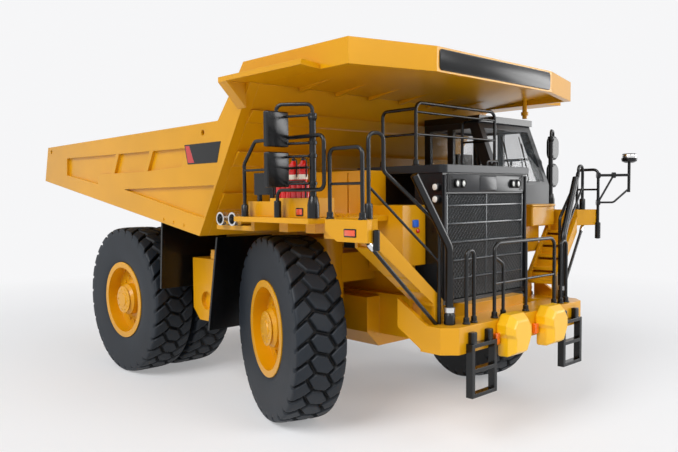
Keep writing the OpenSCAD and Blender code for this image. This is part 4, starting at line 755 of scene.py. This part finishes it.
def wires(low, high, x, pitch, thick):
    """Square prisms along the lines y - z = k inside a rectangle of y and z, k in equal steps."""
    (y0, z0), (y1, z1) = low, high
    k = np.arange(y0 - z1 + pitch / 2, y1 - z0, pitch)
    z_from, z_to = np.maximum(z0, y0 - k), np.minimum(z1, y1 - k)
    ends = np.stack([np.c_[z_from + k, z_from], np.c_[z_to + k, z_to]], 1)
    corner = thick / 2 * np.array([[1, 0, 0], [0, 0.7071, -0.7071], [-1, 0, 0], [0, -0.7071, 0.7071]])
    centre = np.concatenate([np.full((*ends.shape[:2], 1), x), ends], -1)
    return prisms(centre[:, :, None] + corner)


(back, *low), (front, *high) = (np.asarray(corner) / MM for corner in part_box("grille"))
screen = wires(np.add(low, 0.2), np.subtract(high, 0.2), front - 0.35, WIRE_PITCH, WIRE)
seams = [
    box([front - 0.5, low[0], z - SEAM_HALF], [front + 0.02, high[0], z + SEAM_HALF], 0.1) for z in SEAMS
]
seams.append(box([front - 0.5, -0.3, low[1]], [front - 0.1, 0.3, high[1]], 0.1))
rim = [
    box([front - 0.7, y - RIM_HALF, low[1]], [front + 0.05, y + RIM_HALF, high[1]], 0.1)
    for y in (-RIM_Y, RIM_Y)
]
lattice = [screen, mirrored(screen), *seams, *rim]
piece("wire_screen", lattice, "chassis", "black_plastic", WIRE_PAINTED_GLINT, ["grille"])
# The backing is painted near black: painted shade behind the mesh.
piece("screen_backing", [box([back, *low], [front - 0.75, *high], 0.05)], "chassis", "black_plastic", PAINTED_SHADE_BLACK)
# Near-black discs in the exhaust pipes' open ends: painted shade inside the pipes.
pipe_shade = [lathe([(1.47, 0), (1.47, 0.3)], (x, PIPE_END, PIPE_AT), -Y) for x in PIPE_XS]
piece("pipe_painted_shade", pipe_shade, "chassis", "black_plastic", PAINTED_SHADE_BLACK)
print("wires", 2 * len(screen[0]) // 8)

# %% [markdown]
# A grey band closes the radiator's top. It has a raised field, two sunk pockets with a pair of lamps
# each, and a honeycomb of holes at each end. The pockets are thin near-black plates and the holes near-black
# six-sided discs: painted shade for their depth. A texture could draw the holes, but the discs keep their
# edges when the camera comes close.

# %% Head band
FRONT, BAND_AT, LAMP_AT = 89.3, 71.1, 71.0
POST_Y, POST_ENDS, POCKET_Y = 20.3, (38.4, 73.4), 14.0
COMB_AT, COMB_STEP, COMB_COUNT = (17.15, 69.3), (0.9, 0.86), (3, 5)
GREY = paint("band_grey", (0.12, 0.125, 0.14), 0.30, edge_highlight=0.1)
band = [
    slab(rounded(38.6, 5.2, 0.6), (FRONT, 0, BAND_AT), Y, Z, 0.35),
    slab(rounded(8.4, 4.2, 0.5), (FRONT + 0.3, 0, BAND_AT), Y, Z, 0.3),
    *(tube(facing(FRONT + 0.25, *((y, z) for z in POST_ENDS)), 0.8) for y in (-POST_Y, POST_Y)),
]
piece("head_band", band, "chassis", "dark_paint", GREY)
column, row = np.meshgrid(*map(np.arange, COMB_COUNT))
comb_y = COMB_AT[0] + COMB_STEP[0] * column
comb_z = COMB_AT[1] + COMB_STEP[1] * (row + column % 2 / 2)
# Painted shade: the pockets and holes are near-black plates on the band's face.
pockets = [
    slab(rounded(5.6, 2.7, 0.4), (FRONT + 0.33, y, LAMP_AT), Y, Z, 0.08, 0.03) for y in (-POCKET_Y, POCKET_Y)
]
cells = [
    lathe([(0.42, 0), (0.42, 0.06)], (FRONT + 0.33, s * y, z), X, 6, math.pi / 6)
    for s in (-1, 1) for y, z in zip(comb_y.ravel(), comb_z.ravel())
]
piece("band_openings", pockets + cells, "chassis", "black_plastic", PAINTED_SHADE_BLACK)
print("holes in the band", len(cells))

# %% Lamps
BEZEL = [(1.2, 0), (1.2, 0.75), (1.05, 0.9), (0.92, 0.9), (0.92, 0.3)]
LENS = [(0.9, 0), (0.9, 0.1), (0.6, 0.28), (0.02, 0.36)]
SIDE_BEZEL = [(1.25, -0.8), (1.25, 0.02), (1.1, 0.14), (0.92, 0.14), (0.92, -0.1)]
SIDE_LENS = [(0.9, -0.1), (0.9, 0.1), (0.6, 0.26), (0.02, 0.34)]
LAMP_YS, SIDE_LAMP_Y, SIDE_LAMP_ZS = (12.6, 15.4), 21.8, (70.0, 66.6)
bezels, lenses = [], []
for s in (-1, 1):
    for y in LAMP_YS:
        bezels.append(lathe(BEZEL, (FRONT + 0.35, s * y, LAMP_AT), X))
        lenses.append(lathe(LENS, (FRONT + 0.8, s * y, LAMP_AT), X))
    for z in SIDE_LAMP_ZS:
        bezels.append(lathe(SIDE_BEZEL, (FRONT - 2, s * SIDE_LAMP_Y, z), s * Y))
        lenses.append(lathe(SIDE_LENS, (FRONT - 2, s * SIDE_LAMP_Y, z), s * Y))
piece("lamp_bezels", bezels, "chassis", "black_plastic")
piece("lamp_lenses", lenses, "chassis", "lamp_white")
print("lamps", len(lenses))

# %% [markdown]
# ## Plates, reflectors and bottles
#
# A black plate sits on the canopy's nose, and a dark one with a red stripe on each side of the body.
# The landings and the bin carry red reflectors in black frames. Each is a thin slab on its solid: a
# coloured patch in the paint would do from far off, but a slab has an edge that catches the light.

# %% Plates
NOSE_FACE, NOSE_AT = 93.58, 103.3
BODY_SIDE, PLATE_X, PLATE_Z = 55.28, 22.0, 81.3
PLATE = np.array([[-10.4, 3.1], [-8.6, -3.2], [8.4, -3.2], [10.6, 3.1]])
STRIPE = np.array([[-9.8, 2.7], [-8.3, -2.8], [-4.6, -2.8], [-7.4, 2.7]])
nose = slab(rounded(55.4, 5.5, 1.0), (NOSE_FACE, 0, NOSE_AT), Y, Z, 0.3, 0.1)
piece("nose_plate", [nose], "dump_body", "black_plastic")


def on_side(s, outline, above, thickness, edge):
    """A slab on the body's side s, its outline turned so that it reads alike from front to rear."""
    flat = (outline * [-s, 1])[::-s]
    return slab(flat, (PLATE_X, s * (BODY_SIDE + above), PLATE_Z), -s * X, Z, thickness, edge)


piece("side_plates", [on_side(s, PLATE, 0.0, 0.1, 0.03) for s in (-1, 1)], "dump_body", "black_plastic")
piece("side_stripes", [on_side(s, STRIPE, 0.08, 0.06, 0.02) for s in (-1, 1)], "dump_body", "red_plastic")
print("plates", 3)

# %% Reflectors
REFLECTORS = [
    ((91.5, -58.58, 59.0), X, 4.2, 2.0),
    ((70.6, -56.58, 63.7), X, 2.9, 2.1),
    ((90.4, 58.58, 59.0), -X, 3.6, 2.0),
]
FRAME_WIDE, FRAME_THICK = 0.3, 0.2
RED_GLASS = paint("reflector_red", (0.93, 0.33, 0.16), 0.2, coat=0.6, edge_highlight=0.0)
frames, glows = [], []
for place, along, wide, tall in REFLECTORS:
    frames.append(slab(rounded(wide, tall, 0.2), place, along, Z, FRAME_THICK, 0.06))
    inner = rounded(wide - 2 * FRAME_WIDE, tall - 2 * FRAME_WIDE, 0.12)
    glows.append(slab(inner, place + 0.1 * np.cross(along, Z), along, Z, FRAME_THICK, 0.06))
piece("reflector_frames", frames, "chassis", "black_plastic")
piece("reflectors", glows, "chassis", "red_plastic", RED_GLASS)
print("reflectors", len(glows))

# %% [markdown]
# The fire bottles stand on the right deck: two tall ones with a paper band, a valve, a lever and a hose,
# and six small flasks behind a rack. They are turned profiles and thin tubes about each bottle's axis.

# %% Fire bottles
BOTTLE_Y, BOTTLE_XS = -51.5, (62.0, 66.1)
BAND_FOOT, VALVE_FOOT = 72.3, 77.3
BAND = [(1.26, 0), (1.29, 0.02), (1.29, 1.3), (1.26, 1.32)]
BOTTLE_VALVE = [(0.5, 0), (0.5, 0.7), (0.34, 0.8), (0.34, 1.5), (0.25, 1.6)]
FLASK_XS, FLASK_Y, FLASK_TOP = 59.7 + 2.2 * np.arange(6), -54.6, 71.05
FLASK_CAP = [(0.72, 0), (0.72, 0.3), (0.6, 0.4), (0.25, 0.45), (0.25, 0.7)]
RACK_Y, RACK_ENDS, RACK_FOOT, RACK_TOP = -55.8, (58.3, 72.1), 67.3, 71.7
PAPER = paint("paper_band", (0.93, 0.91, 0.84), 0.5, edge_highlight=0.0)
bands = [lathe(BAND, (x, BOTTLE_Y, BAND_FOOT), Z, 28) for x in BOTTLE_XS]
caps = [lathe(FLASK_CAP, (x, FLASK_Y, FLASK_TOP), Z, 16) for x in FLASK_XS]
valves = []
for x in BOTTLE_XS:
    lever = beside(BOTTLE_Y, (x, 78.5), (x - 1.5, 78.9), (x - 1.9, 78.2))
    hose = [(x + 0.3, BOTTLE_Y, 77.9), (x + 1.5, BOTTLE_Y - 0.1, 77.6), (x + 1.5, BOTTLE_Y - 0.1, 73.0)]
    valves += [
        lathe(BOTTLE_VALVE, (x, BOTTLE_Y, VALVE_FOOT), Z, 14),
        tube(lever, 0.32, 0.3, 8),
        tube(hose, 0.34, 0.8, 8),
    ]
rack_from, rack_to = RACK_ENDS
rack = beside(RACK_Y, (rack_from, RACK_FOOT), (rack_from, RACK_TOP), (rack_to, RACK_TOP), (rack_to, RACK_FOOT))
piece("bottle_bands", bands, "chassis", "lamp_white", PAPER)
piece("bottle_valves", [*valves, tube(rack, 0.5, 0.7, 10)], "chassis", "black_plastic")
piece("flask_caps", caps, "chassis", "red_plastic")
print("bottles", len(bands), "flasks", len(caps))

# %% [markdown]
# ## Small fastenings and fittings
#
# Raised studs on the decks, lamp pods on the bumper, bolts on the body's hinge ears, wipers and grips on
# the cab: each is small, but a plain face gives a model away. The studs are one array: the same low
# pyramid at every point of a lattice that isn't under a box.

# %% Deck studs
STUD_XS, STUD_YS, STUD_CLEAR = np.arange(46.8, 77.2, 2.3), np.arange(24.0, 57.0, 2.0), 0.8
STUD_FOOT, STUD_TOP, STUD_SUNK, STUD_TALL = (0.62, 0.3, 0), (0.42, 0.15, 0), 0.05, 0.22


def studs(xs, ys, z, keep_out):
    """Low square pyramids at the lattice points that lie outside every rectangle of keep_out."""
    x, y = (axis.ravel() for axis in np.meshgrid(xs, ys))
    free = np.ones(len(x), bool)
    for x0, x1, y0, y1 in keep_out:
        free &= ~((x > x0) & (x < x1) & (y > y0) & (y < y1))
    middle = np.c_[x, y, np.full(len(x), z)][free]
    corner = np.array([[1, 1, 0], [-1, 1, 0], [-1, -1, 0], [1, -1, 0]])
    stud = np.vstack([corner * STUD_FOOT - STUD_SUNK * Z, corner * STUD_TOP + STUD_TALL * Z])
    return prisms(middle[:, None] + stud)


boxes = [np.asarray(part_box(solid)) / MM for solid in ("lockers", "side_bin", "cab_shell", "hood")]
keep_out = [
    (lo[0] - STUD_CLEAR, hi[0] + STUD_CLEAR, lo[1] - STUD_CLEAR, hi[1] + STUD_CLEAR) for lo, hi in boxes
]
deck_studs = [studs(STUD_XS, s * STUD_YS, DECK, keep_out) for s in (-1, 1)]
piece("deck_studs", deck_studs, "chassis", "yellow_paint")
print("studs", sum(len(points) for points, _ in deck_studs) // 8)

# %% [markdown]
# A lamp pod is a cast block with a notched outline that narrows to the front. A block with cut corners
# would do, but carrying one outline forward in rows gives the soft shoulders as well.

# %% Lamp pods
POD_YS, POD_X, POD_Z, SPOT_X = (-9.8, 9.8), 102.9, 29.8, 107.95
POD_BACK = np.array([
    [-3.4, 5.7], [3.2, 5.7], [5.5, 2.9], [5.5, -0.8], [2.8, -5.7], [-4.6, -5.7], [-4.6, -0.6], [-5.5, 0.6],
    [-5.5, 3.0],
])
POD_ROWS = [(0.0, 0.94, 0.0), (0.6, 1.0, 0.0), (3.2, 0.98, 0.0), (4.9, 0.78, -0.2), (5.25, 0.7, -0.2)]
SPOT, SPOTS = [(0.7, -0.5), (0.7, 0.06), (0.5, 0.1), (0.3, 0.02)], ((1.2, 2.3), (2.4, 0.2))
POD_PAINTED_SHADE = paint("pod_painted_shade", (0.80, 0.42, 0.01), 0.4, edge_highlight=0.0)
AMBER = paint("amber_lens", (0.95, 0.42, 0.03), 0.15, coat=0.8, edge_highlight=0.0)


def pod(y):
    """A pod's outline carried forward in rows, each at its depth, drawn in to a share and shifted down."""
    wide, tall = POD_BACK.T
    rows = [
        [POD_X, y, POD_Z] + np.c_[np.full(len(wide), depth), wide * share, tall * share + shift]
        for depth, share, shift in POD_ROWS
    ]
    return lidded(np.stack(rows))


piece("lamp_pods", [pod(y) for y in POD_YS], "chassis", "pod_paint", replaces=["headlamp_pods"], sharp_deg=12)
# Dark orange discs on each pod's front: painted shade in the small recesses there.
spots = [lathe(SPOT, (SPOT_X, y + a, POD_Z + b), X, 16) for y in POD_YS for a, b in SPOTS]
piece("pod_sockets", spots, "chassis", "pod_paint", POD_PAINTED_SHADE)
markers = [box((102.8, y - 6.9, 27.6), (104.2, y - 5.0, 30.6), 0.2) for y in POD_YS]
piece("pod_markers", markers, "chassis", "red_plastic", AMBER)
print("pods", len(POD_YS), "markers", len(markers))

# %% [markdown]
# Each stair has a closed back under its treads, and two boxes stand between the radiator and the left
# stair. They are plain plates and blocks, so their corners are all that is written down.

# %% Stair backs and left boxes
STRINGER, STAIR_WIDTH, LAP = 1.1, 10.0, 0.1
TREADS, GOING, RISE, BOARD, BOARD_TALL = 5, 4.24, 3.9, 0.4, 3.2
UNDERSIDE, PLATE_STEP = np.array([[3.0, 5.1], [21.2, 20.5]]), [-0.35, 0.42]
EAR_BOLTS = ((-3.0, 60.2), (3.5, 59.4), (10.0, 58.6))


def stair_back():
    """The plate under one stair, and a riser from each tread down to it, between the two stringers."""
    plate = [*UNDERSIDE, *(UNDERSIDE[::-1] + PLATE_STEP)]
    feet = [(GOING * i + 3.2, RISE * i + 4.7) for i in range(TREADS)]
    boards = [
        [(x, z), (x + BOARD, z), (x + BOARD, z + BOARD_TALL), (x, z + BOARD_TALL)] for x, z in feet
    ]
    ys = (STRINGER - LAP, STAIR_WIDTH - STRINGER + LAP)
    return [lidded(np.stack([on_stair(beside(y, *outline)) for y in ys])) for outline in (plate, *boards)]


piece("stair_backs", [*stair_back(), *map(mirrored, stair_back())], "chassis", "yellow_paint", sharp_deg=30)
blocks = [
    box((77.6, 30.4, 57.0), (86.0, 44.6, 63.6), 0.3),
    box((77.6, 30.0, 63.5), (86.3, 44.9, 64.3), 0.2),
    box((78.4, 30.6, 48.3), (83.3, 39.5, 57.2), 0.3),
]
piece("left_boxes", blocks, "chassis", "yellow_paint")
ears = [bolt((x, s * BODY_SIDE, z), s * Y, 0.5, 0.3) for s in (-1, 1) for x, z in EAR_BOLTS]
piece("body_bolts", ears, "dump_body", "yellow_paint")
print("risers", 2 * TREADS, "bolts", len(ears))

# %% [markdown]
# Wipers, grips, a handle and brackets are black mouldings, each a thin tube or a small block. A blue and
# a red plug close the fillers beside the radiator.

# %% Cab fittings
WIPER_YS, GRIP_XS, GRIP_ENDS = (29.0, 40.0), (48.0, 66.4), (70.5, 79.5)
HANDLE_X, HANDLE_YS, HANDLE_Z, HANDLE_TOP = 88.6, (1.0, 6.5), 76.0, 77.7
BRACKET_YS, PLUG_FACE = (19.4, 26.6), 83.28
BLUE = paint("plug_blue", (0.10, 0.36, 0.78), 0.3, edge_highlight=0.1)


def staple(x, inner, outer, ends):
    """The route of a grip on the cab's side: out at one height and back at the other."""
    low, high = ends
    return facing(x, (inner, low), (outer, low), (outer, high), (inner, high))


wipers = [
    tube([(78.3, y, 71.8), (77.9, y + 1.0, 73.0), (72.9, y + 4.5, 85.6)], 0.36, 0.6, 8) for y in WIPER_YS
]
wipers += [tube([(76.6, y + 2.4, 76.2), (71.9, y + 4.2, 88.0)], 0.3, sides=8) for y in WIPER_YS]
grips = [tube(staple(x, 54.6, 55.3, GRIP_ENDS), 0.5, 0.5, 10) for x in GRIP_XS]
near, far = HANDLE_YS
handle = facing(HANDLE_X, (near, HANDLE_Z), (near, HANDLE_TOP), (far, HANDLE_TOP), (far, HANDLE_Z))
brackets = [
    box((102.8, s * y - 1.1, 28.6), (104.4, s * y + 1.1, 32.4), 0.2) for s in (-1, 1) for y in BRACKET_YS
]
fittings = [*wipers, *grips, tube(handle, 0.6, 0.7, 10), *brackets]
piece("cab_fittings", fittings, "chassis", "black_plastic")
plug = slab(rounded(2.3, 2.1, 0.3), (PLUG_FACE, -25.6, 59.9), Y, Z, 0.5, 0.15)
piece("blue_plug", [plug], "chassis", "black_plastic", BLUE)
plug = lathe([(0.6, 0), (0.6, 0.4), (0.4, 0.55)], (PLUG_FACE, -24.6, 57.8), X, 16)
piece("red_plug", [plug], "chassis", "red_plastic")
print("cab fittings", len(fittings))

# %% [markdown]
# ## Studio
#
# The photograph has a white ground that fades into a white background. The floor is one sheet that bends
# up behind the truck, so no horizon shows. It keeps the shadow near the truck. Further out, rays from the
# camera, and those mirrored or passed on by metal and glass, see more and more of a plain white.

# %% Floor
REACH, BEND, WALL_AT, HEIGHT = 3.0, 0.6, 0.6, 2.0
GLOW_FROM, GLOW_TO, GLOW_NEAR, GLOW_FAR = 0.08, 0.38, 0.32, 1.0
AZIMUTH, PITCH_DOWN, ROLL = np.radians([46.469, 3.246, -0.478])


def seen_rays(tree):
    """1 for camera, glossy and transmitted rays and 0 for the others: the greatest of the three."""
    rays = node(tree, "LightPath").outputs
    seen = rays["Is Camera Ray"]
    for other in ("Is Glossy Ray", "Is Transmission Ray"):
        seen = node(tree, "Math", {0: seen, 1: rays[other]}, operation="MAXIMUM").outputs[0]
    return seen


def white_floor(name, board_srgb, glow_srgb):
    """White board with a glow that only seen rays meet, its share growing with the distance from the truck."""
    made, tree, surface = surface_tree(name, 0.9)
    feed(tree, surface, {"Base Color": linear(*board_srgb)})
    place = node(tree, "TexCoord").outputs["Object"]
    length = node(tree, "VectorMath", {0: place}, operation="LENGTH").outputs["Value"]
    share = ranged(tree, length, GLOW_FROM, GLOW_TO, GLOW_NEAR, GLOW_FAR)
    both = node(tree, "Math", {0: seen_rays(tree), 1: share}, operation="MULTIPLY").outputs[0]
    glow = node(tree, "Emission", {"Color": linear(*glow_srgb)}).outputs["Emission"]
    mix = node(tree, "MixShader", {"Fac": both, 1: surface.outputs["BSDF"], 2: glow})
    feed(tree, tree.nodes["Material Output"], {"Surface": mix.outputs["Shader"]})
    return made


across = np.linspace(-REACH, REACH, 9)
angle = np.linspace(0, math.pi / 2, 13)
run = np.r_[-REACH, WALL_AT + BEND * np.sin(angle), WALL_AT + BEND]
rise = np.r_[0, BEND * (1 - np.cos(angle)), HEIGHT]
away = np.array([-math.sin(AZIMUTH), math.cos(AZIMUTH), 0])
aside = np.array([away[1], -away[0], 0])
board = run[:, None, None] * away + across[None, :, None] * aside + rise[:, None, None] * Z
corner = np.arange(len(run) * len(across)).reshape(len(run), len(across))
quads = np.stack([corner[:-1, :-1], corner[:-1, 1:], corner[1:, 1:], corner[1:, :-1]], -1).reshape(-1, 4)
mesh = bpy.data.meshes.new("studio_floor")
mesh.from_pydata(board.reshape(-1, 3), [], quads.tolist())
mesh.polygons.foreach_set("use_smooth", np.ones(len(mesh.polygons), bool))
mesh.materials.append(white_floor("studio_white", (0.94, 0.945, 0.955), (0.965, 0.965, 0.97)))
floor = bpy.data.objects.new("studio_floor", mesh)
bpy.context.scene.collection.objects.link(floor)
print("floor quads", len(quads))

# %% [markdown]
# The light is soft and comes from a large source above the truck's right side, with weaker ones ahead and
# at the left. The room fills the shadows a little, while metal and glass see it almost white.

# %% Light
FILL, SEEN = 0.21, 0.88
SOFTBOXES = [
    ("key", (0.16, -0.72, 0.64), (0, 0, 0.05), 0.5, 6.6),
    ("front", (0.80, 0.05, 0.55), (0.05, 0, 0.06), 0.4, 3.2),
    ("left", (0.60, 0.85, 0.24), (0.08, 0, 0.08), 0.5, 4.5),
]


def softbox(name, place, target, size, power):
    """A square area light at a place, turned to face a target; power in watts."""
    lamp = bpy.data.lights.new(name, "AREA")
    lamp.size, lamp.energy = size, power
    made = bpy.data.objects.new(name, lamp)
    made.location = place
    made.rotation_mode = "QUATERNION"
    made.rotation_quaternion = (Vector(target) - Vector(place)).to_track_quat("-Z", "Y")
    bpy.context.scene.collection.objects.link(made)
    return made


world = bpy.data.worlds.new("studio")
bpy.context.scene.world = world
world.use_nodes = True
room = world.node_tree
strength = ranged(room, seen_rays(room), 0.0, 1.0, FILL, SEEN)
feed(room, room.nodes["Background"], {"Color": (1, 1, 1, 1), "Strength": strength})
print("softboxes", [softbox(*setting).name for setting in SOFTBOXES])

# %% [markdown]
# The camera was solved from the photograph: its place, the way it looks, a slight roll, the lens and a
# small shift. Its axes are worked out from the angles, which keeps every number of the solve in sight.

# %% Camera
CAMERA_AT = np.array([209.272, -172.023, 68.287]) * MM
SENSOR, LENS_MM, SHIFT, CLIP = 36.0, 36.732, (-0.009456, 0.010586), (0.01, 20.0)
look = math.cos(PITCH_DOWN) * away - math.sin(PITCH_DOWN) * Z
right = np.cross(look, Z)
right /= np.linalg.norm(right)
up = np.cross(right, look)
right, up = math.cos(ROLL) * right + math.sin(ROLL) * up, math.cos(ROLL) * up - math.sin(ROLL) * right
camera = bpy.data.objects.new("camera", bpy.data.cameras.new("camera"))
camera.matrix_world = Matrix.Translation(CAMERA_AT) @ Matrix(np.column_stack([right, up, -look])).to_4x4()
camera.data.sensor_width, camera.data.lens = SENSOR, LENS_MM
camera.data.shift_x, camera.data.shift_y = SHIFT
camera.data.clip_start, camera.data.clip_end = CLIP
bpy.context.scene.collection.objects.link(camera)
bpy.context.scene.camera = camera
bpy.context.scene.view_settings.view_transform = "Standard"
print("camera at", CAMERA_AT.round(4))
